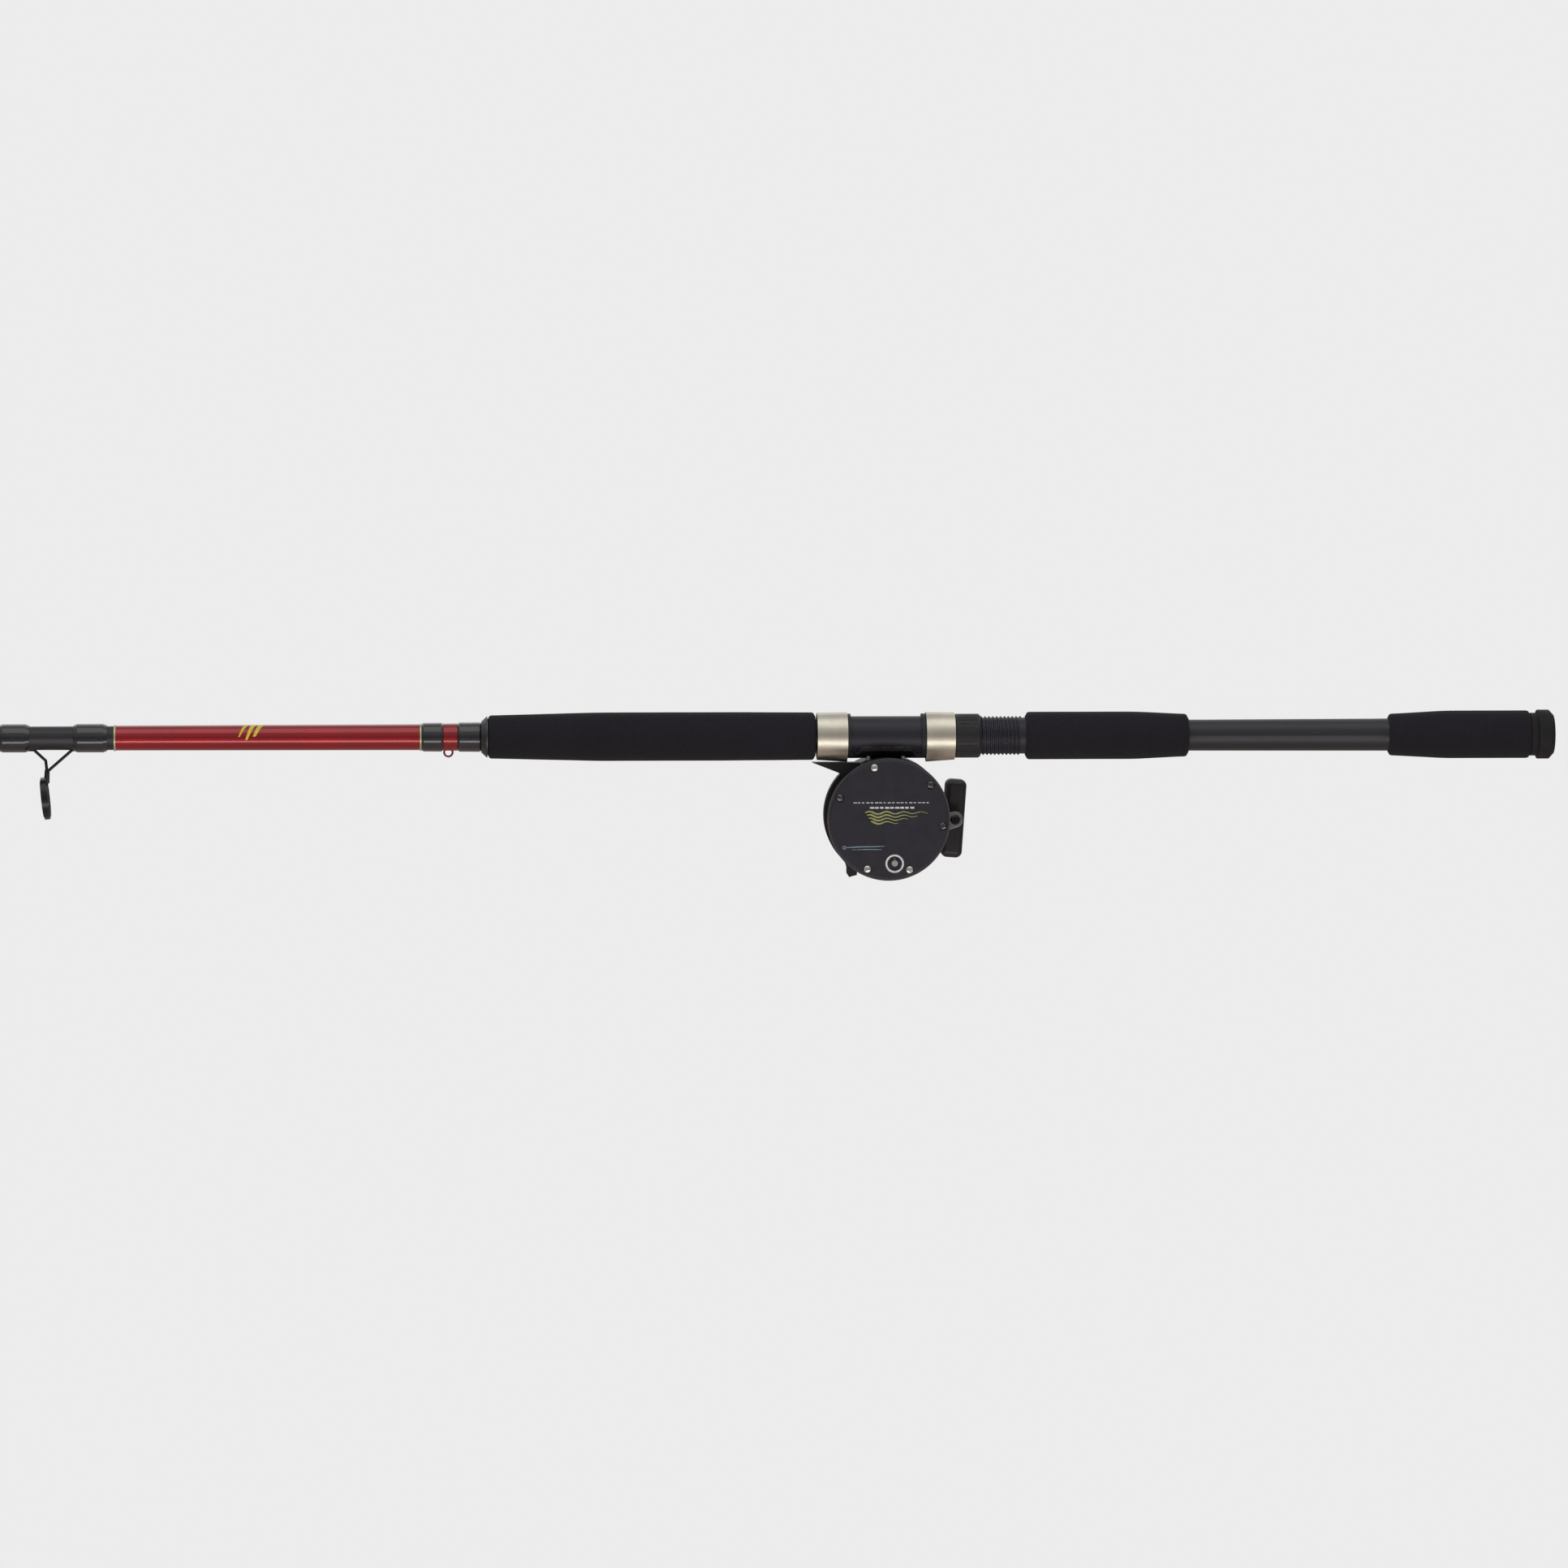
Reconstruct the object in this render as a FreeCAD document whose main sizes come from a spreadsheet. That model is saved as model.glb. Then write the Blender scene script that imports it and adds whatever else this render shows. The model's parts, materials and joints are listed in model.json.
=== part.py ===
import FreeCAD
import Part
import math
import os

import Sketcher

# A conventional (multiplier) reel clamped under a two-piece boat rod.
#
# Frame: the origin is the centre of the butt cap's end face. +X runs out of the butt, so the tip
# lies towards -X. +Z is up and the reel hangs towards -Z. -Y is the reel's label side, +Y its handle
# side. Millimetres.
#
# Along the rod, sizes called "station" are distances from the butt's end face towards the tip.
# Across the reel, sizes called "side" are plain Y coordinates.

SIZES = {
    # butt cap and the three grips
    "cap_face_r": 12.6,
    "cap_r": 15.8,
    "cap_band_start": 3.0,
    "cap_band_end": 10.4,
    "cap_neck_r": 13.8,
    "cap_length": 15.0,
    "cap_floor": 3.5,
    "butt_grip_end": 107.0,
    "butt_grip_full_end": 70.0,
    "butt_grip_r": 15.4,
    "butt_grip_front_r": 13.3,
    "rear_grip_start": 236.0,
    "rear_grip_full_start": 270.0,
    "rear_grip_end": 341.0,
    "rear_grip_start_r": 13.6,
    "grip_r": 15.3,
    "foregrip_start": 476.0,
    "foregrip_swell_start": 530.0,
    "foregrip_swell_end": 615.0,
    "foregrip_end": 686.0,
    "foregrip_swell_r": 15.6,
    "foregrip_end_r": 13.8,
    "grip_round": 2.0,
    # blank, butt section
    "blank_butt_r": 10.4,
    "blank_rear_r": 10.0,
    "blank_fore_r": 8.35,
    "blank_red_r": 8.0,
    "blank_joint_r": 7.5,
    "blank_wall": 1.7,
    "male_r": 7.2,
    "male_end": 1086.0,
    "joint_start": 1012.0,
    # trim ahead of the foregrip
    "check_end": 690.0,
    "check_r": 13.0,
    "wrap_a_end": 705.0,
    "keeper_end": 714.5,
    "wrap_b_end": 728.0,
    "wrap_height": 1.15,
    "keeper_height": 0.55,
    "keeper_station": 711.0,
    "keeper_drop": 9.7,
    "keeper_ring_r": 2.7,
    "keeper_wire_r": 0.65,
    "sleeve_start": 729.6,
    "sleeve_end": 923.0,
    "sleeve_wall": 0.3,
    "trim_height": 0.75,
    "trim_width": 1.4,
    # reel seat
    "thread_start": 343.0,
    "thread_end": 391.0,
    "thread_core_r": 11.6,
    "thread_crest_r": 12.45,
    "thread_pitch": 2.5,
    "seat_r": 12.7,
    "seat_bore_r": 10.7,
    "seat_end": 474.8,
    "nut_start": 370.0,
    "nut_end": 386.4,
    "nut_r": 14.1,
    "nut_bore_r": 12.62,
    "nut_flutes": 30.0,
    "hood_start": 386.6,
    "hood_mouth": 405.0,
    "hood_lip": 408.0,
    "fixed_lip": 453.5,
    "fixed_mouth": 455.6,
    "fixed_end": 475.0,
    "hood_r": 15.3,
    "hood_back_r": 15.05,
    "hood_pocket_r": 10.6,
    "hood_mouth_drop": 6.0,
    "hood_back_drop": 4.7,
    "hood_wall": 0.9,
    "hood_play": 0.18,
    "foot_start": 395.0,
    "foot_end": 467.0,
    "foot_thickness": 1.45,
    "foot_play": 0.04,
    "foot_half_width": 11.0,
    "tongue_half_width": 6.8,
    "tongue_length": 15.0,
    "rivet_r": 1.6,
    "rivet_x": 11.0,
    "rivet_y": 5.0,
    # tip section
    "socket_r": 8.9,
    "socket_bore_r": 7.26,
    "socket_end": 1090.0,
    "tip_start_r": 7.1,
    "tip_start": 1104.0,
    "tip_r": 1.45,
    "tip_end": 2122.0,
    "rod_length": 2134.0,
    # guides
    "guide_ring_r": 13.5,
    "guide_neck": 4.8,
    "guide_shoulder_angle": 52.0,
    "guide_wire_min_r": 0.62,
    "guide_wire_step_r": 0.33,
    "guide_front_foot": 5.5,
    "guide_rear_foot": 15.0,
    "guide_reach": 38.5,
    "guide_station": 968.0,
    "guide_lean": 6.0,
    # reel body
    "reel_x": -430.0,
    "reel_z": -52.3,
    "ring_r": 39.3,
    "ring_bore_r": 31.0,
    "left_ring_side": -22.0,
    "ring_width": 3.0,
    "left_face_side": -27.0,
    "left_plate_r": 38.2,
    "left_plate_wall": 2.0,
    "trim_ring_width": 1.2,
    "right_ring_side": 19.0,
    "cover_r": 39.0,
    "cover_bore_r": 35.9,
    "cover_side": 35.0,
    "cover_wall": 1.6,
    "post_r": 2.1,
    "post_circle_r": 35.4,
    "screw_circle_r": 34.6,
    "screw_head_r": 2.5,
    "screw_shank_r": 1.4,
    "cover_screw_circle_r": 37.35,
    "cover_screw_head_r": 1.4,
    "cover_screw_shank_r": 0.8,
    # spool
    "spool_r": 30.6,
    "spool_half_width": 20.5,
    "spool_arbor_r": 11.0,
    "spool_lip": 1.6,
    "shaft_r": 2.5,
    "shaft_end_r": 2.0,
    "bearing_r": 5.0,
    "bearing_width": 3.0,
    "running_gap": 0.04,
    # gear train
    "gear_module": 0.8,
    "main_teeth": 38.0,
    "pinion_teeth": 10.0,
    "mesh_gap": 0.12,
    "stud_angle": 255.0,
    "stud_r": 2.4,
    "sleeve_r": 4.0,
    "main_gear_side": 28.0,
    "main_gear_width": 3.5,
    "pinion_side": 21.2,
    "bridge_side": 22.0,
    "bridge_wall": 1.2,
    "bridge_r": 35.7,
    "star_side": 41.0,
    "star_r": 20.5,
    "arm_side": 46.5,
    "arm_wall": 2.4,
    "crank_x": 47.5,
    "crank_z": -4.7,
    "knob_pin_r": 2.2,
    "knob_side": 49.6,
    "knob_length": 51.0,
    "knob_width": 13.8,
    "knob_depth": 15.0,
    "knob_stem": 7.0,
    "knob_tilt": 4.0,
    "lever_side": 35.3,
    "lever_wall": 2.2,
    "lever_x": -27.0,
    "lever_z": -12.0,
    "lever_tip_x": -19.5,
    "lever_tip_z": -40.3,
    "click_x": 3.4,
    "click_z": -27.7,
    "click_travel": 2.0,
    "button_r": 2.0,
}

LEFT_SCREW_ANGLES = (40, 106, 156, 246, 292, 353)
COVER_SCREW_ANGLES = (15, 75, 135, 195, 285, 330)
POST_ANGLES = (20, 232, 308)
TIP_GUIDES = (
    # node name, station, ring radius, reach of the ring's centre below the rod's axis
    ("guide_2", 1225.0, 10.6, 27.5),
    ("guide_3", 1465.0, 8.9, 21.5),
    ("guide_4", 1690.0, 7.7, 17.5),
    ("guide_5", 1900.0, 6.8, 14.0),
)

X_AXIS = FreeCAD.Vector(1, 0, 0)
Y_AXIS = FreeCAD.Vector(0, 1, 0)
Z_AXIS = FreeCAD.Vector(0, 0, 1)
TOWARDS_TIP = FreeCAD.Rotation(Z_AXIS, 180)
ALONG_Y = FreeCAD.Rotation(Z_AXIS, 90)
CYLINDER_ALONG_Y = FreeCAD.Rotation(X_AXIS, -90)
CYLINDER_ALONG_X = FreeCAD.Rotation(Y_AXIS, 90)

doc = FreeCAD.newDocument("rod_and_reel")
nodes = {}


class Dim(float):
    """A number with the sheet expression behind it, so that a feature can be bound to it."""

    def __new__(cls, value, text):
        dim = float.__new__(cls, value)
        dim.text = text
        return dim

    def __add__(self, other):
        return Dim(float(self) + float(other), f"({self.text} + {text_of(other)})")

    def __radd__(self, other):
        return Dim(float(other) + float(self), f"({text_of(other)} + {self.text})")

    def __sub__(self, other):
        return Dim(float(self) - float(other), f"({self.text} - {text_of(other)})")

    def __rsub__(self, other):
        return Dim(float(other) - float(self), f"({text_of(other)} - {self.text})")

    def __mul__(self, other):
        return Dim(float(self) * float(other), f"({self.text} * {text_of(other)})")

    def __rmul__(self, other):
        return Dim(float(other) * float(self), f"({text_of(other)} * {self.text})")

    def __truediv__(self, other):
        return Dim(float(self) / float(other), f"({self.text} / {text_of(other)})")

    def __neg__(self):
        return Dim(-float(self), f"(0 - {self.text})")


def text_of(number):
    return number.text if isinstance(number, Dim) else f"{float(number):.6g}"


def write_sheet():
    sheet = doc.addObject("Spreadsheet::Sheet", "Sizes")
    for row, (name, value) in enumerate(SIZES.items(), start=1):
        sheet.set(f"A{row}", name.replace("_", " "))
        sheet.set(f"B{row}", str(value))
        sheet.setAlias(f"B{row}", name)
    doc.recompute()


class Sizes:
    """The sheet's cells by name: size.cap_r is a Dim bound to the cell cap_r."""

    def __getattr__(self, name):
        return Dim(SIZES[name], f"Sizes.{name}")


size = Sizes()


def bind(thing, prop, number):
    if isinstance(number, Dim):
        thing.setExpression(prop, number.text)
    else:
        setattr(thing, prop, number)


def place(thing, spot, turn=FreeCAD.Rotation()):
    """Put an object at a spot whose coordinates may each be bound to the sheet."""
    thing.Placement = FreeCAD.Placement(FreeCAD.Vector(*[float(c) for c in spot]), turn)
    for letter, number in zip("xyz", spot):
        if isinstance(number, Dim):
            thing.setExpression(f"Placement.Base.{letter}", number.text)
    return thing


def keep(label, thing):
    """Make an object the sub-part of this name."""
    thing.Label = label
    nodes[label] = thing
    return thing


def origin_plane(body, role):
    return [plane for plane in body.Origin.OriginFeatures if plane.Role == role][0]


def pin_point(sketch, line, end, x, y):
    """Tie one end of a sketch line to its two coordinates."""
    for kind, number, axis_line in (("DistanceX", x, -2), ("DistanceY", y, -1)):
        if abs(float(number)) < 1e-9:
            sketch.addConstraint(Sketcher.Constraint("PointOnObject", line, end, axis_line))
            continue
        row = sketch.addConstraint(Sketcher.Constraint(kind, -1, 1, line, end, float(number)))
        if isinstance(number, Dim):
            sketch.setExpression(f"Constraints[{row}]", number.text)


def outline_sketch(body, name, points, plane="XY_Plane"):
    """A closed outline of straight lines whose corners are all bound."""
    sketch = body.newObject("Sketcher::SketchObject", name)
    sketch.AttachmentSupport = [(origin_plane(body, plane), "")]
    sketch.MapMode = "FlatFace"
    corners = [FreeCAD.Vector(float(x), float(y), 0) for x, y in points]
    count = len(corners)
    for index in range(count):
        sketch.addGeometry(Part.LineSegment(corners[index], corners[(index + 1) % count]), False)
    for index in range(count):
        sketch.addConstraint(Sketcher.Constraint("Coincident", index, 2, (index + 1) % count, 1))
    for index, (x, y) in enumerate(points):
        pin_point(sketch, index, 1, x, y)
    return sketch


def rim_edges(shape, rims):
    """Names of the circular edges at each (position along the axis, radius)."""
    names = []
    for along, radius in rims:
        for index, edge in enumerate(shape.Edges, start=1):
            if not isinstance(edge.Curve, Part.Circle):
                continue
            close = abs(edge.Curve.Center.x - float(along)) < 0.01
            if close and abs(edge.Curve.Radius - float(radius)) < 0.01:
                names.append(f"Edge{index}")
    return names


def lathe(label, points, spot=(0, 0, 0), turn=TOWARDS_TIP, rims=(), rim_round=0):
    """A turned piece: an outline of (position, radius) corners, revolved, with some rims rounded."""
    body = doc.addObject("PartDesign::Body", f"{label}_turned")
    sketch = outline_sketch(body, f"{label}_outline", points)
    revolution = body.newObject("PartDesign::Revolution", f"{label}_revolution")
    revolution.Profile = sketch
    revolution.ReferenceAxis = (sketch, ["H_Axis"])
    revolution.Angle = 360
    sketch.Visibility = False
    if rims:
        doc.recompute()
        fillet = body.newObject("PartDesign::Fillet", f"{label}_rims")
        fillet.Base = (revolution, rim_edges(revolution.Shape, rims))
        bind(fillet, "Radius", rim_round)
    return place(body, spot, turn)


def reel_spot(x=0.0, y=0.0, z=0.0):
    """A place given from the spool's axis, in the rod's frame."""
    return (size.reel_x + x, y, size.reel_z + z)


def reel_lathe(label, points, x=0.0, z=0.0, rims=(), rim_round=0):
    """A piece turned about an axis along Y; positions in its outline are Y coordinates."""
    return lathe(label, points, reel_spot(x, 0, z), ALONG_Y, rims, rim_round)


def cylinder(name, radius, length, spot, turn=CYLINDER_ALONG_Y):
    thing = doc.addObject("Part::Cylinder", name)
    bind(thing, "Radius", radius)
    bind(thing, "Height", length)
    return place(thing, spot, turn)


def box(name, lengths, spot, turn=FreeCAD.Rotation()):
    thing = doc.addObject("Part::Box", name)
    for prop, number in zip(("Length", "Width", "Height"), lengths):
        bind(thing, prop, number)
    return place(thing, spot, turn)


def fuse(name, things):
    thing = doc.addObject("Part::MultiFuse", name)
    thing.Shapes = things
    return thing


def cut(name, base, tools):
    thing = doc.addObject("Part::Cut", name)
    thing.Base = base
    thing.Tool = tools[0] if len(tools) == 1 else fuse(f"{name}_cutters", tools)
    return thing


def common(name, base, tool):
    thing = doc.addObject("Part::Common", name)
    thing.Base = base
    thing.Tool = tool
    return thing


def group(label, things):
    """Like pieces that share one node, each its own solid."""
    thing = doc.addObject("Part::Compound", f"{label}_group")
    thing.Links = things
    return keep(label, thing)


def feature(name, shape, spot=(0, 0, 0), turn=FreeCAD.Rotation()):
    thing = doc.addObject("Part::Feature", name)
    thing.Shape = shape
    return place(thing, spot, turn)


def polar(radius, angle):
    """X and Z of a point at this radius and this angle above +X."""
    radians = math.radians(float(angle))
    return radius * math.cos(radians), radius * math.sin(radians)


def extrude_outline(points, side, width):
    """A flat piece: an outline of (x, z) corners given from the spool's axis, thick along Y."""
    corners = [FreeCAD.Vector(float(x), float(side), float(z)) for x, z in points]
    face = Part.Face(Part.makePolygon(corners + corners[:1]))
    return face.extrude(Y_AXIS * float(width))


# ---------------------------------------------------------------- the rod's blank


def blank_stations():
    return (
        (size.cap_floor, size.blank_butt_r),
        (size.butt_grip_end, size.blank_butt_r),
        (size.rear_grip_start, size.blank_rear_r),
        (size.check_end, size.blank_fore_r),
        (size.wrap_b_end, size.blank_red_r),
        (size.joint_start, size.blank_joint_r),
    )


def tip_stations():
    return (
        (size.joint_start + 2.0, size.socket_r),
        (size.socket_end, size.socket_r),
        (size.tip_start, size.tip_start_r),
        (size.tip_end, size.tip_r),
    )


def radius_at(stations, station):
    """The blank's radius at a station, from the taper it lies on."""
    for (start, start_r), (end, end_r) in zip(stations, stations[1:]):
        if float(start) <= float(station) <= float(end):
            return start_r + (end_r - start_r) * (station - start) / (end - start)
    raise ValueError(f"no blank at station {station}")


def make_butt_blank():
    outer = list(blank_stations())
    step = [
        (size.joint_start + 1.0, size.male_r),
        (size.male_end, size.male_r),
    ]
    inner = [(size.male_end, size.male_r - size.blank_wall)]
    inner += [(station, radius - size.blank_wall) for station, radius in reversed(outer)]
    keep("butt_blank", lathe("butt_blank", outer + step + inner))


def make_tip_blank():
    start, socket_end, tip_start, tip_end = (station for station, _ in tip_stations())
    outer = list(tip_stations())
    inner = [
        (tip_end, size.tip_r - 0.6),
        (tip_start, size.tip_start_r - size.blank_wall),
        (socket_end, size.socket_bore_r - 1.0),
        (socket_end - 2.0, size.socket_bore_r),
        (start, size.socket_bore_r),
    ]
    keep("tip_blank", lathe("tip_blank", outer + inner))


# ---------------------------------------------------------------- cap and grips


def make_butt_cap():
    points = [
        (0, 0),
        (0, size.cap_face_r),
        (size.cap_band_start, size.cap_r),
        (size.cap_band_end, size.cap_r),
        (size.cap_band_end + 0.8, size.cap_neck_r),
        (size.cap_length, size.cap_neck_r),
        (size.cap_length, size.blank_butt_r),
        (size.cap_floor, size.blank_butt_r),
        (size.cap_floor, 0),
    ]
    rims = [(size.cap_band_end, size.cap_r)]
    keep("butt_cap", lathe("butt_cap", points, rims=rims, rim_round=0.5))


def make_grip(label, outer):
    """A foam grip that fills the space between its outer corners and the blank."""
    inner = [(station, radius_at(blank_stations(), station)) for station in (outer[-1][0], outer[0][0])]
    rims = [outer[0], outer[-1]]
    grip = lathe(label, outer + inner, rims=rims, rim_round=size.grip_round)
    keep(label, grip)


def make_grips():
    make_grip("butt_grip", [
        (size.cap_length, size.butt_grip_r),
        (size.butt_grip_full_end, size.butt_grip_r),
        (size.butt_grip_end, size.butt_grip_front_r),
    ])
    make_grip("rear_grip", [
        (size.rear_grip_start, size.rear_grip_start_r),
        (size.rear_grip_full_start, size.grip_r),
        (size.rear_grip_end, size.grip_r),
    ])
    make_grip("foregrip", [
        (size.foregrip_start, size.grip_r),
        (size.foregrip_swell_start, size.foregrip_swell_r),
        (size.foregrip_swell_end, size.foregrip_swell_r),
        (size.foregrip_end, size.foregrip_end_r),
    ])


# ---------------------------------------------------------------- trim ahead of the foregrip


def band(name, stations, start, end, height, slope=1.2):
    """A wrap or ring on the blank: full height between two short slopes."""
    low = 0.35 * height
    points = [
        (start, radius_at(stations, start) + low),
        (start + slope, radius_at(stations, start + slope) + height),
        (end - slope, radius_at(stations, end - slope) + height),
        (end, radius_at(stations, end) + low),
        (end, radius_at(stations, end)),
        (start, radius_at(stations, start)),
    ]
    return lathe(name, points)


def make_foretrim():
    stations = blank_stations()
    check = lathe("winding_check", [
        (size.foregrip_end, size.check_r),
        (size.foregrip_end + 0.6, size.check_r),
        (size.check_end, size.check_r - 3.1),
        (size.check_end, radius_at(stations, size.check_end)),
        (size.foregrip_end, radius_at(stations, size.foregrip_end)),
    ])
    keep("winding_check", check)
    group("foregrip_wraps", [
        band("wrap_a", stations, size.check_end, size.wrap_a_end, size.wrap_height),
        band("wrap_b", stations, size.keeper_end, size.wrap_b_end, size.wrap_height),
    ])
    keeper = band("keeper_band", stations, size.wrap_a_end, size.keeper_end, size.keeper_height, 0.4)
    sleeve_points = [
        (size.sleeve_start, radius_at(stations, size.sleeve_start) + size.sleeve_wall),
        (size.sleeve_end, radius_at(stations, size.sleeve_end) + size.sleeve_wall),
        (size.sleeve_end, radius_at(stations, size.sleeve_end)),
        (size.sleeve_start, radius_at(stations, size.sleeve_start)),
    ]
    group("red_trim", [keeper, lathe("red_sleeve", sleeve_points)])
    rings = []
    for name, start in (("trim_a", size.wrap_b_end), ("trim_b", size.sleeve_end)):
        rings.append(band(name, stations, start, start + size.trim_width, size.trim_height, 0.3))
    group("trim_rings", rings)


def make_hook_keeper():
    ring = doc.addObject("Part::Torus", "keeper_loop")
    bind(ring, "Radius1", size.keeper_ring_r)
    bind(ring, "Radius2", size.keeper_wire_r)
    place(ring, (-size.keeper_station, 0, -size.keeper_drop), CYLINDER_ALONG_Y)
    blank = cylinder("keeper_clearance", radius_at(blank_stations(), size.keeper_station),
                     40, (-size.keeper_station - 20, 0, 0), CYLINDER_ALONG_X)
    keep("hook_keeper", cut("hook_keeper_cut", ring, [blank]))


# ---------------------------------------------------------------- reel seat


def make_seat():
    """The seat barrel, with a coarse thread for the lock nut on its rear half."""
    helix_start = float(size.thread_start + size.thread_pitch * 0.5)
    helix_length = float(size.thread_end - size.thread_start - size.thread_pitch)
    core_r = float(size.thread_core_r)
    half = float(size.thread_pitch) * 0.4
    root = core_r - 0.25
    crest = float(size.thread_crest_r)
    flat = 0.22
    tooth = Part.makePolygon([FreeCAD.Vector(radius, 0, along) for radius, along in (
        (root, -half), (crest, -flat), (crest, flat), (root, half), (root, -half))])
    helix = Part.Wire(Part.makeHelix(size.thread_pitch, helix_length, core_r))
    ridge = helix.makePipeShell([tooth], True, True)
    rear = float(size.rear_grip_end) - helix_start
    step = float(size.thread_end) + 1.0 - helix_start
    front = float(size.seat_end) - helix_start
    bore_r = float(size.seat_bore_r)
    threaded = z_cylinder(core_r, rear, step).fuse(ridge).cut(z_cylinder(bore_r, rear - 2, step + 2))
    plain = z_cylinder(float(size.seat_r), step, front).cut(z_cylinder(bore_r, step - 2, front + 2))
    barrel = threaded.fuse(plain).removeSplitter()
    keep("seat_barrel", feature("seat_barrel_shape", barrel, (-helix_start, 0, 0),
                                FreeCAD.Rotation(Y_AXIS, -90)))


def z_cylinder(radius, start, end):
    return Part.makeCylinder(radius, end - start, FreeCAD.Vector(0, 0, start))


def make_bushings():
    """Three arbor rings that centre the seat barrel on the thinner blank."""
    rings = []
    for name, start in (("bushing_a", 343.0), ("bushing_b", 402.0), ("bushing_c", 460.0)):
        end = start + 12.0
        rings.append(lathe(name, [
            (start, size.seat_bore_r),
            (end, size.seat_bore_r),
            (end, radius_at(blank_stations(), end)),
            (start, radius_at(blank_stations(), start)),
        ]))
    group("seat_bushings", rings)


def make_lock_nut():
    points = [
        (size.nut_start, size.nut_bore_r),
        (size.nut_start, size.nut_r - 1.1),
        (size.nut_start + 1.3, size.nut_r),
        (size.nut_end - 0.6, size.nut_r),
        (size.nut_end, size.nut_r - 0.5),
        (size.nut_end, size.nut_bore_r),
    ]
    blank = lathe("lock_nut_blank", points)
    flutes = []
    length = size.nut_end - size.nut_start - 4.6
    for index in range(int(size.nut_flutes)):
        angle = math.radians(index * 360.0 / float(size.nut_flutes))
        reach = float(size.nut_r) + 0.25
        spot = (-size.nut_end + 2.2, reach * math.cos(angle), reach * math.sin(angle))
        flutes.append(cylinder(f"nut_flute_{index}", 0.6, length, spot, CYLINDER_ALONG_X))
    keep("lock_nut", cut("lock_nut_cut", blank, flutes))


def hood_wire(big_r, small_r, drop, station):
    """A circle on the rod's axis joined by tangents to a smaller one below it, at a station."""
    rise = (big_r - small_r) / drop
    reach = math.sqrt(1.0 - rise * rise)
    x = -station
    right = FreeCAD.Vector(x, big_r * reach, -big_r * rise)
    left = FreeCAD.Vector(x, -big_r * reach, -big_r * rise)
    low_right = FreeCAD.Vector(x, small_r * reach, -drop - small_r * rise)
    low_left = FreeCAD.Vector(x, -small_r * reach, -drop - small_r * rise)
    top = FreeCAD.Vector(x, 0, big_r)
    bottom = FreeCAD.Vector(x, 0, -drop - small_r)
    edges = [
        Part.Arc(left, top, right).toShape(),
        Part.LineSegment(right, low_right).toShape(),
        Part.Arc(low_right, bottom, low_left).toShape(),
        Part.LineSegment(low_left, left).toShape(),
    ]
    return Part.Wire(edges)


def hood_solid(mouth, back, inset=0.0):
    """The hood's outer form, or its inside when inset by the wall."""
    sections = []
    for station, big_r, drop in (
        (mouth, size.hood_r, size.hood_mouth_drop),
        (back, size.hood_back_r, size.hood_back_drop),
    ):
        sections.append(hood_wire(float(big_r) - inset, float(size.hood_pocket_r) - inset,
                                  float(drop), float(station)))
    return Part.makeLoft(sections, True, True)


def x_cylinder(radius, start, end):
    """A solid round bar on the rod's axis between two stations."""
    low, high = sorted((-float(start), -float(end)))
    return Part.makeCylinder(float(radius), high - low, FreeCAD.Vector(low, 0, 0), X_AXIS)


def make_hood(prefix, lip, mouth, back):
    """A metal hood over a plastic liner, with a pocket below for one tongue of the reel's foot."""
    wall = float(size.hood_wall)
    inside = hood_solid(mouth, back, wall)
    shell = hood_solid(mouth, back).cut(inside)
    lip_sections = [hood_wire(float(size.hood_r) - wall, float(size.hood_pocket_r) - wall,
                              float(size.hood_mouth_drop), float(station)) for station in (mouth, lip)]
    liner = inside.fuse(Part.makeLoft(lip_sections, True, True))
    bore_r = size.seat_r + size.hood_play
    liner = liner.cut(x_cylinder(bore_r, float(lip) - 60, float(lip) + 60))
    below = 20.0
    tongue_half = float(size.tongue_half_width) + 0.35
    depth = float(size.tongue_length) + 0.6
    away = 1.0 if float(back) > float(lip) else -1.0
    ends = sorted((-float(lip) + away, -float(lip) - away * depth))
    pocket = Part.makeBox(ends[1] - ends[0], 2 * tongue_half, below,
                          FreeCAD.Vector(ends[0], -tongue_half, -below))
    liner = liner.cut(pocket)
    tongue_r = size.seat_r + size.foot_play + size.foot_thickness + 0.15
    shell = shell.cut(pocket.common(x_cylinder(tongue_r, float(lip) - 60, float(lip) + 60)))
    keep(f"{prefix}_hood", feature(f"{prefix}_hood_shell", shell))
    keep(f"{prefix}_hood_liner", feature(f"{prefix}_hood_inner", liner))


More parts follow.
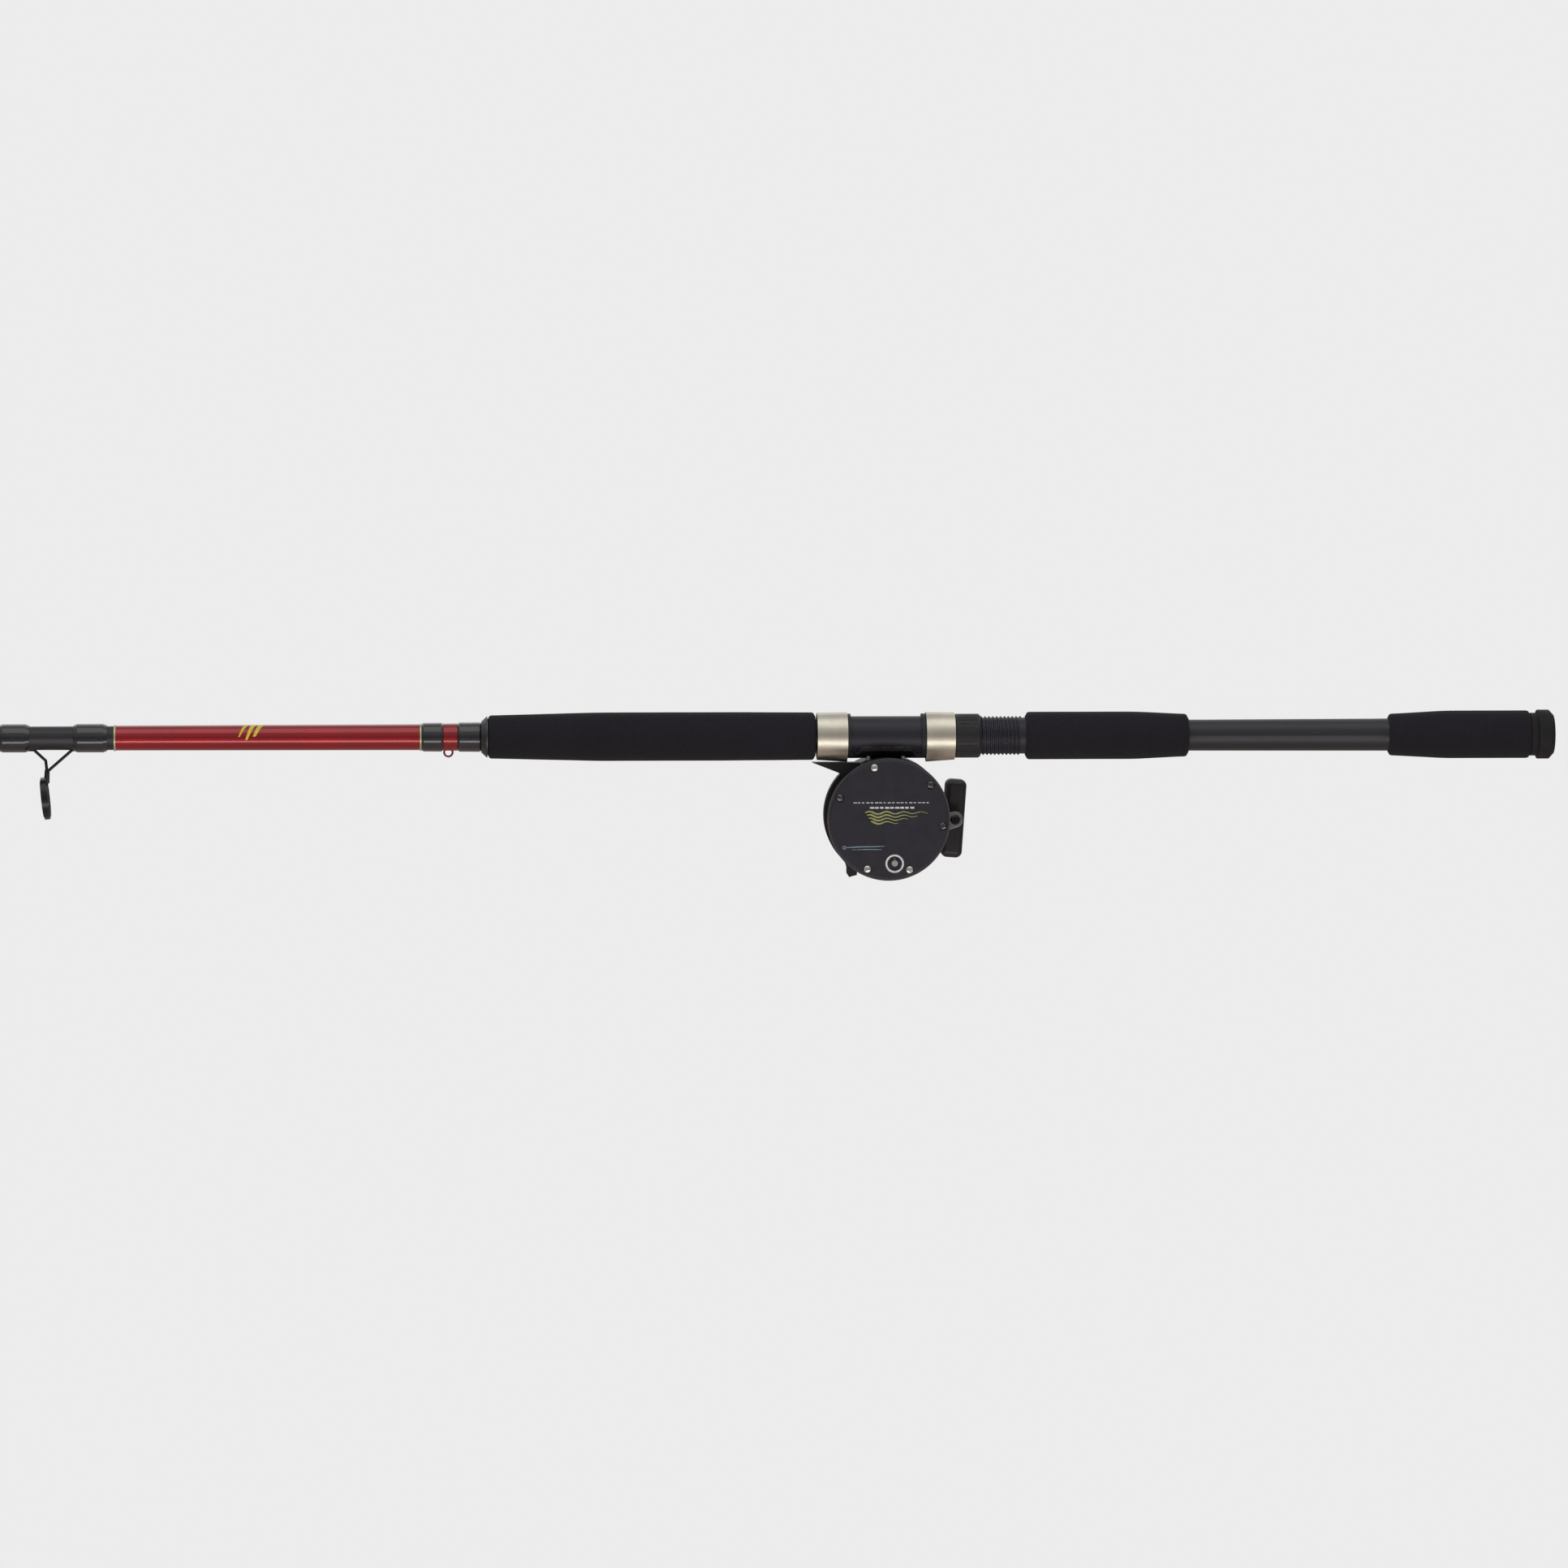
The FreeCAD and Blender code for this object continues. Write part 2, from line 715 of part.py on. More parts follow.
def make_foot():
    """The saddle plate under the barrel, with a tongue at each end and four rivets."""
    inner_r = size.seat_r + size.foot_play
    outer_r = inner_r + size.foot_thickness
    length = size.foot_end - size.foot_start
    outer = cylinder("foot_outer", outer_r, length, (-size.foot_end, 0, 0), CYLINDER_ALONG_X)
    inner = cylinder("foot_inner", inner_r, length + 2, (-size.foot_end - 1, 0, 0), CYLINDER_ALONG_X)
    band_shape = cut("foot_band", outer, [inner])
    tongue = size.tongue_length
    half = length / 2.0
    middle = (size.foot_start + size.foot_end) / 2.0
    plan = doc.addObject("PartDesign::Body", "foot_plan")
    corners = [
        (-half, -size.tongue_half_width + 1.5),
        (-half + 1.5, -size.tongue_half_width),
        (-half + tongue, -size.tongue_half_width),
        (-half + tongue + 4.5, -size.foot_half_width),
        (half - tongue - 4.5, -size.foot_half_width),
        (half - tongue, -size.tongue_half_width),
        (half - 1.5, -size.tongue_half_width),
        (half, -size.tongue_half_width + 1.5),
    ]
    corners += [(x, -y) for x, y in reversed(corners)]
    sketch = outline_sketch(plan, "foot_plan_outline", corners)
    pad = plan.newObject("PartDesign::Pad", "foot_plan_pad")
    pad.Profile = sketch
    pad.Length = 12
    sketch.Visibility = False
    place(plan, (-middle, 0, -17))
    plate = common("foot_plate", band_shape, plan)
    rivets = []
    for name, x, y in (("a", 1, 1), ("b", 1, -1), ("c", -1, 1), ("d", -1, -1)):
        spot = (-middle + size.rivet_x * x, size.rivet_y * y, -18.6)
        rivets.append(cylinder(f"rivet_{name}", size.rivet_r, 8, spot, FreeCAD.Rotation()))
    keep("reel_foot", cut("reel_foot_drilled", plate, rivets))
    flush = []
    for index, rivet in enumerate(rivets):
        flush.append(cut(f"rivet_flush_{index}", rivet, [inner]))
    group("foot_rivets", flush)
    return rivets, outer


# ---------------------------------------------------------------- guides


def bar(points, radius):
    """A bent round wire through the given points."""
    shape = Part.makeSphere(radius, points[0])
    for start, end in zip(points, points[1:]):
        run = end - start
        shape = shape.fuse(Part.makeCylinder(radius, run.Length, start, run))
        shape = shape.fuse(Part.makeSphere(radius, end))
    return shape


def tube(outer_r, inner_r, width):
    """A short tube along X, centred on the origin."""
    start = FreeCAD.Vector(-width / 2.0, 0, 0)
    shape = Part.makeCylinder(outer_r, width, start, X_AXIS)
    return shape.cut(Part.makeCylinder(inner_r, width, start, X_AXIS))


def placed(shape, spot, turn):
    shape.Placement = FreeCAD.Placement(spot, turn)
    return shape


def make_guide(label, stations, station, ring_r, reach):
    """A double-foot guide: a leaning frame ring under a neck, where one front and two rear legs meet."""
    scale = float(ring_r) / SIZES["guide_ring_r"]
    wire_r = float(size.guide_wire_min_r) + float(size.guide_wire_step_r) * scale
    x = -float(station)
    lean = FreeCAD.Rotation(Y_AXIS, -float(size.guide_lean))
    centre = FreeCAD.Vector(x, 0, -float(reach))
    frame_wall = 0.9 + 0.6 * scale
    inner_r = float(ring_r) - frame_wall
    frame = placed(tube(float(ring_r), inner_r, 2.2 + 1.2 * scale), centre, lean)
    collar = tube(inner_r, inner_r - 0.9 * frame_wall - 0.5, 3.0 + 1.6 * scale)
    front = FreeCAD.Vector(x - float(size.guide_front_foot) * scale - 1.0, 0, 0)
    rear = FreeCAD.Vector(x + float(size.guide_rear_foot) * scale + 1.5, 0, 0)
    front.z = -float(radius_at(stations, -front.x)) - 0.5
    rear.z = -float(radius_at(stations, -rear.x)) - 0.5
    ring_top = -float(reach) + float(ring_r) - 0.4
    neck = float(size.guide_neck) * scale
    neck_top = FreeCAD.Vector(x + 1.0, 0, ring_top + neck)
    knee = FreeCAD.Vector(x + 0.3, 0, front.z + 0.5 * (neck_top.z - front.z))
    solid = frame.fuse(bar([front, knee, neck_top], wire_r))
    solid = solid.fuse(bar([neck_top, FreeCAD.Vector(x + 0.6, 0, ring_top - 0.2)], 1.5 * wire_r))
    for side in (-1, 1):
        shoulder_angle = math.radians(float(size.guide_shoulder_angle))
        shoulder_r = float(ring_r) - 0.5 * frame_wall
        shoulder = FreeCAD.Vector(x + 1.4 * scale, side * shoulder_r * math.cos(shoulder_angle),
                                  -float(reach) + shoulder_r * math.sin(shoulder_angle))
        heel = FreeCAD.Vector(rear.x, side * 0.7, rear.z)
        meeting = FreeCAD.Vector(neck_top.x + 0.8, side * 1.1 * scale, neck_top.z - 0.3)
        solid = solid.fuse(bar([heel, meeting, shoulder], wire_r))
    foot_length = 14.0 * scale + 6.0
    for start, direction in ((front, -1), (rear, 1)):
        end = FreeCAD.Vector(start.x + direction * foot_length, 0, 0)
        end.z = -float(radius_at(stations, -end.x)) - 0.5
        low = min(start.z, end.z) - 0.25
        high = -float(radius_at(stations, -end.x)) if direction > 0 else start.z + 0.5
        left = min(start.x, end.x)
        foot = Part.makeBox(foot_length, 2.6, high - low, FreeCAD.Vector(left, -1.3, low))
        solid = solid.fuse(foot)
    blank = blank_bar(stations, rear.x + foot_length + 1, front.x - foot_length - 1)
    hole = placed(Part.makeCylinder(inner_r, 14, FreeCAD.Vector(-7, 0, 0), X_AXIS), centre, lean)
    solid = solid.cut(blank).cut(hole).removeSplitter()
    keep(f"{label}_frame", feature(f"{label}_frame_wires", solid))
    wraps = [
        band(f"{label}_rear_wrap", stations, -rear.x - foot_length - 3.0, -rear.x - 1.5, 1.5, 2.6),
        band(f"{label}_front_wrap", stations, -front.x + 3.5, -front.x + foot_length + 3.0, 1.5, 2.6),
    ]
    return wraps, feature(f"{label}_collar", collar, centre, lean)


def blank_bar(stations, start_x, end_x):
    """The blank's own taper between two places, to trim a guide's feet to it."""
    start_r = float(radius_at(stations, -start_x))
    end_r = float(radius_at(stations, -end_x))
    if abs(start_r - end_r) < 1e-6:
        return Part.makeCylinder(start_r, start_x - end_x, FreeCAD.Vector(end_x, 0, 0), X_AXIS)
    return Part.makeCone(end_r, start_r, start_x - end_x, FreeCAD.Vector(end_x, 0, 0), X_AXIS)


def make_guides():
    stripper_wraps, stripper_collar = make_guide(
        "guide_1", blank_stations(), size.guide_station, size.guide_ring_r, size.guide_reach)
    group("stripper_wraps", stripper_wraps)
    keep("guide_1_ring", stripper_collar)
    wraps = [band("joint_wrap", tip_stations(), size.joint_start + 3.0, size.joint_start + 26.0, 0.9)]
    collars = []
    for label, station, ring_r, reach in TIP_GUIDES:
        guide_wraps, collar = make_guide(label, tip_stations(), station, ring_r, reach)
        wraps += guide_wraps
        collars.append(collar)
    group("tip_wraps", wraps)
    make_tip_top(collars)
    group("tip_guide_rings", collars)


def make_tip_top(collars):
    """A small tube over the tip with a loop below it, and its ring insert."""
    centre = FreeCAD.Vector(-float(size.rod_length) + 3.4, 0, -6.6)
    flat = FreeCAD.Rotation(Y_AXIS, -14)
    loop = placed(tube(4.9, 3.9, 2.2), centre, flat)
    collars.append(feature("tip_top_collar", tube(3.9, 3.05, 2.8), centre, flat))
    barrel_start = float(size.tip_end) - 14.0
    barrel = x_cylinder(2.3, barrel_start, float(size.tip_end) + 1.0)
    solid = loop.fuse(barrel)
    for side in (-1, 1):
        root = FreeCAD.Vector(-barrel_start - 4.0, side * 1.3, -1.2)
        top = FreeCAD.Vector(centre.x + 0.3, side * 3.6, centre.z + 2.6)
        solid = solid.fuse(bar([root, top], 0.7))
    bridge = FreeCAD.Vector(-float(size.tip_end) - 0.6, 0, -0.9)
    solid = solid.fuse(bar([bridge, FreeCAD.Vector(centre.x, 0, centre.z + 4.5)], 0.9))
    bore = blank_bar(tip_stations(), -barrel_start + 1.0, -float(size.tip_end))
    hole = placed(Part.makeCylinder(3.9, 8, FreeCAD.Vector(-4, 0, 0), X_AXIS), centre, flat)
    keep("tip_top", feature("tip_top_soldered", solid.cut(bore).cut(hole).removeSplitter()))


# ---------------------------------------------------------------- reel frame and plates


def make_reel_frame(rivets, foot_bar):
    """One casting: two end rings, three posts, and a saddle and apron under the foot."""
    left = size.left_ring_side
    right = size.right_ring_side
    rings = []
    for name, side in (("left", left), ("right", right)):
        rings.append(reel_lathe(f"frame_{name}_ring", [
            (side, size.ring_bore_r),
            (side, size.ring_r),
            (side + size.ring_width, size.ring_r),
            (side + size.ring_width, size.ring_bore_r),
        ]))
    inside = left + size.ring_width
    span = right - inside
    posts = []
    for angle in POST_ANGLES:
        x, z = polar(size.post_circle_r, angle)
        posts.append(cylinder(f"frame_post_{angle}", size.post_r, span, reel_spot(x, inside, z)))
    saddle_ring = reel_lathe("saddle_ring", [
        (inside, size.ring_r - 4.4),
        (inside, size.ring_r),
        (right, size.ring_r),
        (right, size.ring_r - 4.4),
    ])
    saddle_block = box("saddle_block", (36, 50, 44), reel_spot(-18, -25, 0))
    saddle = common("saddle", saddle_ring, saddle_block)
    apron_points = [(-48, 35.55), (-14, 35.55), (-14, 26), (-27, 25), (-31, 28.9)]
    apron = feature("apron", extrude_outline(apron_points, -6.5, 13), reel_spot())
    spool_space = cylinder("apron_clearance", size.ring_r - 4.4, 60, reel_spot(0, -30, 0))
    whole = fuse("frame_whole", rings + posts + [saddle, cut("apron_trimmed", apron, [spool_space])])
    holes = screw_bars("frame", LEFT_SCREW_ANGLES, size.screw_circle_r, size.screw_shank_r,
                       left - 1, size.ring_width + 1)
    holes += screw_bars("frame_right", COVER_SCREW_ANGLES, size.cover_screw_circle_r,
                        size.cover_screw_shank_r, right, size.ring_width + 1)
    keep("reel_frame", cut("reel_frame_cut", whole, [foot_bar] + rivets + holes))


def screw_bars(name, angles, circle_r, radius, side, length):
    """Round bars along Y on a circle about the spool's axis: screw shanks, heads or their holes."""
    bars = []
    for angle in angles:
        x, z = polar(circle_r, angle)
        bars.append(cylinder(f"{name}_bar_{angle}", radius, length, reel_spot(x, side, z)))
    return bars


def make_trim_ring():
    start = size.left_ring_side - size.trim_ring_width
    ring = reel_lathe("trim_ring_plain", [
        (start, size.ring_bore_r),
        (start, size.ring_r - 0.1),
        (size.left_ring_side, size.ring_r - 0.1),
        (size.left_ring_side, size.ring_bore_r),
    ])
    holes = screw_bars("trim_ring", LEFT_SCREW_ANGLES, size.screw_circle_r, size.screw_shank_r,
                       start - 1, size.trim_ring_width + 2)
    keep("rim_ring", cut("rim_ring_drilled", ring, holes))


def make_left_plate():
    """The label-side cover: a shallow cup with a bearing seat, screw recesses and a click slot."""
    face = size.left_face_side
    back = size.left_ring_side - size.trim_ring_width
    inner = face + size.left_plate_wall
    bearing_end = inner + size.bearing_width
    plain = reel_lathe("left_plate_plain", [
        (face, 0),
        (face, size.left_plate_r),
        (back, size.left_plate_r),
        (back, size.ring_bore_r + 0.4),
        (inner, size.ring_bore_r + 0.4),
        (inner, size.bearing_r + 2.0),
        (bearing_end, size.bearing_r + 2.0),
        (bearing_end, size.bearing_r),
        (inner, size.bearing_r),
        (inner, 0),
    ], rims=[(face, size.left_plate_r)], rim_round=1.2)
    cutters = screw_bars("plate_shank", LEFT_SCREW_ANGLES, size.screw_circle_r, size.screw_shank_r,
                         face - 1, 6)
    cutters += screw_bars("plate_head", LEFT_SCREW_ANGLES, size.screw_circle_r,
                          size.screw_head_r + 0.35, face - 1, 2.0)
    recess = reel_spot(size.click_x, face - 1, size.click_z)
    cutters.append(cylinder("click_recess", size.button_r * 2.1, 1.7, recess))
    for name, rise in (("low", 0.0), ("high", size.click_travel)):
        spot = reel_spot(size.click_x, face - 1, size.click_z + rise)
        cutters.append(cylinder(f"click_slot_{name}", 1.35, 5, spot))
    cutters.append(box("click_slot_middle", (2.7, 5, size.click_travel),
                       reel_spot(size.click_x - 1.35, face - 1, size.click_z)))
    keep("left_plate", cut("left_plate_cut", plain, cutters))


def make_cover():
    """The handle-side cover: a drum over the gears, with a bearing boss and a bore for the drive."""
    start = size.right_ring_side + size.ring_width
    inner = size.cover_side - size.cover_wall
    boss_inner = size.cover_side + 0.9
    boss_face = boss_inner + size.bearing_width + 0.9
    plain = reel_lathe("cover_plain", [
        (start, size.cover_bore_r),
        (start, size.cover_r),
        (size.cover_side, size.cover_r),
        (size.cover_side, size.bearing_r + 3.2),
        (boss_face, size.bearing_r + 2.2),
        (boss_face, 0),
        (boss_face - 0.9, 0),
        (boss_face - 0.9, size.bearing_r),
        (inner, size.bearing_r),
        (inner, size.cover_bore_r),
    ], rims=[(size.cover_side, size.cover_r)], rim_round=1.4)
    stud_x, stud_z = stud_centre()
    cutters = [
        cylinder("cover_drive_bore", size.sleeve_r + 1.6, 6, reel_spot(stud_x, inner - 2, stud_z)),
        cylinder("cover_lever_bore", 2.05, 6, reel_spot(size.lever_x, inner - 2, size.lever_z)),
    ]
    cutters += screw_bars("cover_shank", COVER_SCREW_ANGLES, size.cover_screw_circle_r,
                          size.cover_screw_shank_r, start - 1, 16)
    cutters += screw_bars("cover_head", COVER_SCREW_ANGLES, size.cover_screw_circle_r,
                          size.cover_screw_head_r, size.cover_side - 1.0, 3)
    keep("gear_cover", cut("gear_cover_cut", plain, cutters))


def make_screws():
    """Slotted screws: six through the label-side plate, six through the gear cover."""
    face = size.left_face_side
    screws = []
    for angle in LEFT_SCREW_ANGLES:
        x, z = polar(size.screw_circle_r, angle)
        head = cylinder(f"left_head_{angle}", size.screw_head_r, 1.5, reel_spot(x, face - 0.5, z))
        shank = cylinder(f"left_shank_{angle}", size.screw_shank_r, 5.6, reel_spot(x, face + 0.9, z))
        screws.append(slotted(f"left_screw_{angle}", [head, shank], x, face - 0.6, z, 4.4, angle))
    for angle in COVER_SCREW_ANGLES:
        x, z = polar(size.cover_screw_circle_r, angle)
        top = size.cover_side - 1.0
        head = cylinder(f"cover_head_solid_{angle}", size.cover_screw_head_r - 0.05, 1.0,
                        reel_spot(x, top, z))
        shank = cylinder(f"cover_shank_solid_{angle}", size.cover_screw_shank_r, 14.6,
                         reel_spot(x, top - 14.5, z))
        screws.append(slotted(f"cover_screw_{angle}", [head, shank], x, top + 0.6, z, 2.0, angle))
    group("reel_screws", screws)


def slotted(name, pieces, x, side, z, length, angle):
    """A screw with a straight slot across its head, turned to its own angle."""
    turn = FreeCAD.Rotation(Y_AXIS, 30.0 + 7.0 * angle)
    offset = turn.multVec(FreeCAD.Vector(-length / 2.0, 0, -0.3))
    slot = box(f"{name}_slot", (length, 0.8, 0.6), reel_spot(x + offset.x, side, z + offset.z), turn)
    return cut(name, fuse(f"{name}_body", pieces), [slot])


# ---------------------------------------------------------------- spool


def make_spool():
    half = size.spool_half_width
    keep("spool", reel_lathe("spool", [
        (-half, size.shaft_r),
        (-half, 8.0),
        (-half + 0.8, 9.5),
        (-half + 0.8, size.spool_r - 3.0),
        (-half, size.spool_r - 2.0),
        (-half, size.spool_r),
        (-half + size.spool_lip, size.spool_r),
        (-half + 3.2, size.spool_arbor_r + 1.0),
        (-half + 4.4, size.spool_arbor_r),
        (half - 4.4, size.spool_arbor_r),
        (half - 3.2, size.spool_arbor_r + 1.0),
        (half - size.spool_lip, size.spool_r),
        (half, size.spool_r),
        (half, size.shaft_r),
    ]))
    left_end = size.left_face_side + size.left_plate_wall + 0.3
    right_end = size.cover_side + size.bearing_width + 0.6
    shaft = reel_lathe("shaft_plain", [
        (left_end, 0),
        (left_end, size.shaft_r),
        (half + 0.1, size.shaft_r),
        (half + 0.1, size.shaft_end_r),
        (right_end, size.shaft_end_r),
        (right_end, 0),
    ])
    tang = box("shaft_tang", (7.0, 1.4, 1.8), reel_spot(-3.5, half + 0.1, -0.9))
    keep("spool_shaft", fuse("spool_shaft_whole", [shaft, tang]))
    bearing_start = size.left_face_side + size.left_plate_wall
    make_bearing("left_bearing", bearing_start, size.shaft_r)
    make_bearing("right_bearing", size.cover_side + 0.9, size.shaft_end_r)
    gear = star_gear(24, 8.6, 9.8, 7.8)
    ring = gear.extrude(Y_AXIS * 0.7)
    keep("click_gear", feature("click_gear_ring", ring, reel_spot(0, -half - 0.7, 0)))


def make_bearing(label, side, bore):
    """A shielded ball bearing as one ring with its shield recesses."""
    inner = bore + size.running_gap
    end = side + size.bearing_width
    keep(label, reel_lathe(label, [
        (side, inner),
        (side, inner + 0.7),
        (side + 0.25, inner + 0.8),
        (side + 0.25, size.bearing_r - 0.8),
        (side, size.bearing_r - 0.7),
        (side, size.bearing_r),
        (end, size.bearing_r),
        (end, size.bearing_r - 0.7),
        (end - 0.25, size.bearing_r - 0.8),
        (end - 0.25, inner + 0.8),
        (end, inner + 0.7),
        (end, inner),
    ]))


def star_gear(teeth, root_r, tip_r, bore_r, hook=0.5):
    """A flat toothed ring with straight-sided teeth; hook 0.5 is even, less leans the teeth over."""
    corners = []
    for index in range(teeth):
        for share, radius in ((0.0, root_r), (hook, tip_r)):
            angle = 2 * math.pi * (index + share) / teeth
            corners.append(FreeCAD.Vector(radius * math.cos(angle), 0, radius * math.sin(angle)))
    rim = Part.makePolygon(corners + corners[:1])
    hole = Part.Wire(Part.makeCircle(bore_r, FreeCAD.Vector(), Y_AXIS))
    return Part.Face(rim).cut(Part.Face(hole))


def make_clicker():
    """The click button slides up its slot and carries the pawl towards the click gear."""
    face = size.left_face_side
    inner = face + size.left_plate_wall
    base = (size.click_x, size.click_z)
    knob = cylinder("button_knob", size.button_r, 1.5, reel_spot(base[0], face - 1.2, base[1]))
    stem = cylinder("button_stem", 1.2, 5.2, reel_spot(base[0], face + 0.2, base[1]))
    keep("click_button", fuse("click_button_whole", [knob, stem]))
    distance = math.hypot(float(base[0]), float(base[1]))
    tip = 12.2 / distance
    root = 1.0 - 2.6 / distance
    across = FreeCAD.Vector(-float(base[1]), 0, float(base[0])) * (2.6 / distance)
    along = FreeCAD.Vector(float(base[0]), 0, float(base[1]))
    side = FreeCAD.Vector(0, float(inner) + 3.4, 0)
    low = along * (1.0 + 2.6 / distance)
    points = [low + across, along * root + across, along * tip, along * root - across, low - across]
    face_shape = Part.Face(Part.makePolygon([point + side for point in points + points[:1]]))
    plate = feature("pawl_plate", face_shape.extrude(Y_AXIS * 0.7), reel_spot())
    keep("click_pawl", cut("click_pawl_bored", plate, [stem]))


# ---------------------------------------------------------------- gear train


def centre_distance():
    return size.gear_module * (size.main_teeth + size.pinion_teeth) / 2.0 + size.mesh_gap


def stud_centre():
    """X and Z of the drive's axis, from the spool's axis."""
    return polar(centre_distance(), size.stud_angle)


def involute_face(teeth, phase):
    """A spur gear's outline, 25 degree pressure angle, one tooth centred on the phase angle."""
    module = SIZES["gear_module"]
    pitch_r = module * teeth / 2.0
    base_r = pitch_r * math.cos(math.radians(25))
    tip_r = pitch_r + 0.8 * module
    root_r = pitch_r - 1.1 * module
    spread = math.tan(math.radians(25)) - math.radians(25)
    half_tooth = math.pi / (2.0 * teeth) - 0.02 * module / pitch_r
    edges = []
    first = None
    last = None
    for index in range(teeth):
        middle = phase + 2 * math.pi * index / teeth
        flank = []
        start_r = max(base_r, root_r + 0.05)
        for step in range(6):
            radius = start_r + (tip_r - start_r) * step / 5.0
            turn = math.sqrt(max(radius * radius / (base_r * base_r) - 1.0, 0.0))
            flank.append((radius, half_tooth + spread - (turn - math.atan(turn))))
        rising = [point_at(root_r, middle - flank[0][1])]
        rising += [point_at(radius, middle - angle) for radius, angle in flank]
        falling = [point_at(radius, middle + angle) for radius, angle in reversed(flank)]
        falling.append(point_at(root_r, middle + flank[0][1]))
        if last is None:
            first = rising[0]
        else:
            edges.append(Part.LineSegment(last, rising[0]).toShape())
        edges.append(Part.LineSegment(rising[0], rising[1]).toShape())
        edges.append(curve_through(rising[1:]))
        edges.append(Part.LineSegment(rising[-1], falling[0]).toShape())
        edges.append(curve_through(falling[:-1]))
        edges.append(Part.LineSegment(falling[-2], falling[-1]).toShape())
        last = falling[-1]
    edges.append(Part.LineSegment(last, first).toShape())
    return Part.Face(Part.Wire(edges))


def point_at(radius, angle):
    return FreeCAD.Vector(radius * math.cos(angle), 0, radius * math.sin(angle))


def curve_through(points):
    curve = Part.BSplineCurve()
    curve.interpolate(points)
    return curve.toShape()


def y_cylinder(radius, start, end):
    foot = FreeCAD.Vector(0, float(start), 0)
    return Part.makeCylinder(float(radius), float(end) - float(start), foot, Y_AXIS)


def make_gears():
    """The main gear and the pinion, in mesh at rest."""
    towards_stud = math.radians(SIZES["stud_angle"])
    towards_spool = towards_stud + math.pi
    main_teeth = int(SIZES["main_teeth"])
    pinion_teeth = int(SIZES["pinion_teeth"])
    stud_x, stud_z = stud_centre()
    start = float(size.main_gear_side)
    end = start + float(size.main_gear_width)
    gear = involute_face(main_teeth, towards_spool).extrude(Y_AXIS * (end - start))
    gear.translate(Y_AXIS * start)
    gear = gear.cut(y_cylinder(size.sleeve_r + 0.05, start - 1, end + 1))
    gear = gear.cut(y_cylinder(12.2, start + 1.3, end + 1))
    keep("main_gear", feature("main_gear_cut", gear, reel_spot(stud_x, 0, stud_z)))
    half_pitch = math.pi / pinion_teeth
    teeth_start = float(size.pinion_side) + 4.6
    teeth_end = teeth_start + 7.2
    teeth = involute_face(pinion_teeth, towards_stud + half_pitch).extrude(Y_AXIS * (teeth_end - teeth_start))
    teeth.translate(Y_AXIS * teeth_start)
    pinion = teeth.fuse(y_cylinder(4.5, size.pinion_side, size.pinion_side + 3.0))
    pinion = pinion.fuse(y_cylinder(3.0, size.pinion_side + 3.0, teeth_start))
    pinion = pinion.cut(y_cylinder(size.shaft_end_r + size.running_gap, 20, 40))
    slot = Part.makeBox(12, 1.9, 2.1, FreeCAD.Vector(-6, float(size.pinion_side) - 0.4, -1.05))
    keep("pinion", feature("pinion_cut", pinion.cut(slot), reel_spot()))


def make_bridge():
    """The plate behind the gears, with the drive stud, two yoke posts and the dog's post on it."""
    side = size.bridge_side
    plate = cylinder("bridge_plate", size.bridge_r, size.bridge_wall, reel_spot(0, side, 0))
    hole = cylinder("bridge_hole", 5.4, 4, reel_spot(0, side - 1, 0))
    drilled = cut("bridge_drilled", plate, [hole])
    top = side + size.bridge_wall
    stud_x, stud_z = stud_centre()
    pieces = [
        drilled,
        cylinder("stud", size.stud_r, 11, reel_spot(stud_x, top - 0.2, stud_z)),
        cylinder("dog_post", 1.5, 4.2, reel_spot(*dog_spot(top - 0.2))),
    ]
    for name, x in (("left", -9.5), ("right", 9.5)):
        pieces.append(cylinder(f"yoke_post_{name}", 1.1, 9.0, reel_spot(x, top - 0.2, 4.5)))
    keep("gear_bridge", fuse("gear_bridge_whole", pieces))


def dog_spot(side):
    stud_x, stud_z = stud_centre()
    return stud_x + 14.5, side, stud_z - 4.4


def make_yoke():
    """A fork in the pinion's neck, on two posts with springs, with an arm out to the cam."""
    start = float(size.pinion_side) + 3.2
    wall = 1.2
    body_points = [(-12.2, 2.0), (-12.2, 7.0), (12.2, 7.0), (12.2, 2.0), (6.0, -3.6), (-6.0, -3.6)]
    arm_points = [(-8.0, 6.0), (-27.5, -5.0), (-29.5, -8.5), (-25.5, -10.5), (-6.0, -2.5)]
    shape = extrude_outline(body_points, start, wall).fuse(extrude_outline(arm_points, start, wall))
    shape = shape.cut(y_cylinder(3.15, start - 1, start + 3))
    shape = shape.cut(Part.makeBox(6.3, 4, 8, FreeCAD.Vector(-3.15, start - 1, -8)))
    for x in (-9.5, 9.5):
        hole = y_cylinder(1.18, start - 1, start + 3)
        hole.translate(FreeCAD.Vector(x, 0, 4.5))
        shape = shape.cut(hole)
    keep("yoke", feature("yoke_plate", shape, reel_spot()))
    springs = []
    for name, x in (("left", -9.5), ("right", 9.5)):
        springs.append(feature(f"yoke_spring_{name}", spring(1.75, 0.22, 5.0, 5),
                               reel_spot(x, start + wall + 0.3, 4.5), CYLINDER_ALONG_Y))
    group("yoke_springs", springs)


def spring(radius, wire_r, length, turns):
    """A helical compression spring along +Z from the origin."""
    helix = Part.makeHelix(length / turns, length, radius)
    section = Part.Wire(Part.makeCircle(wire_r, FreeCAD.Vector(radius, 0, 0), Y_AXIS))
    return Part.Solid(Part.Wire(helix).makePipeShell([section], True, True))


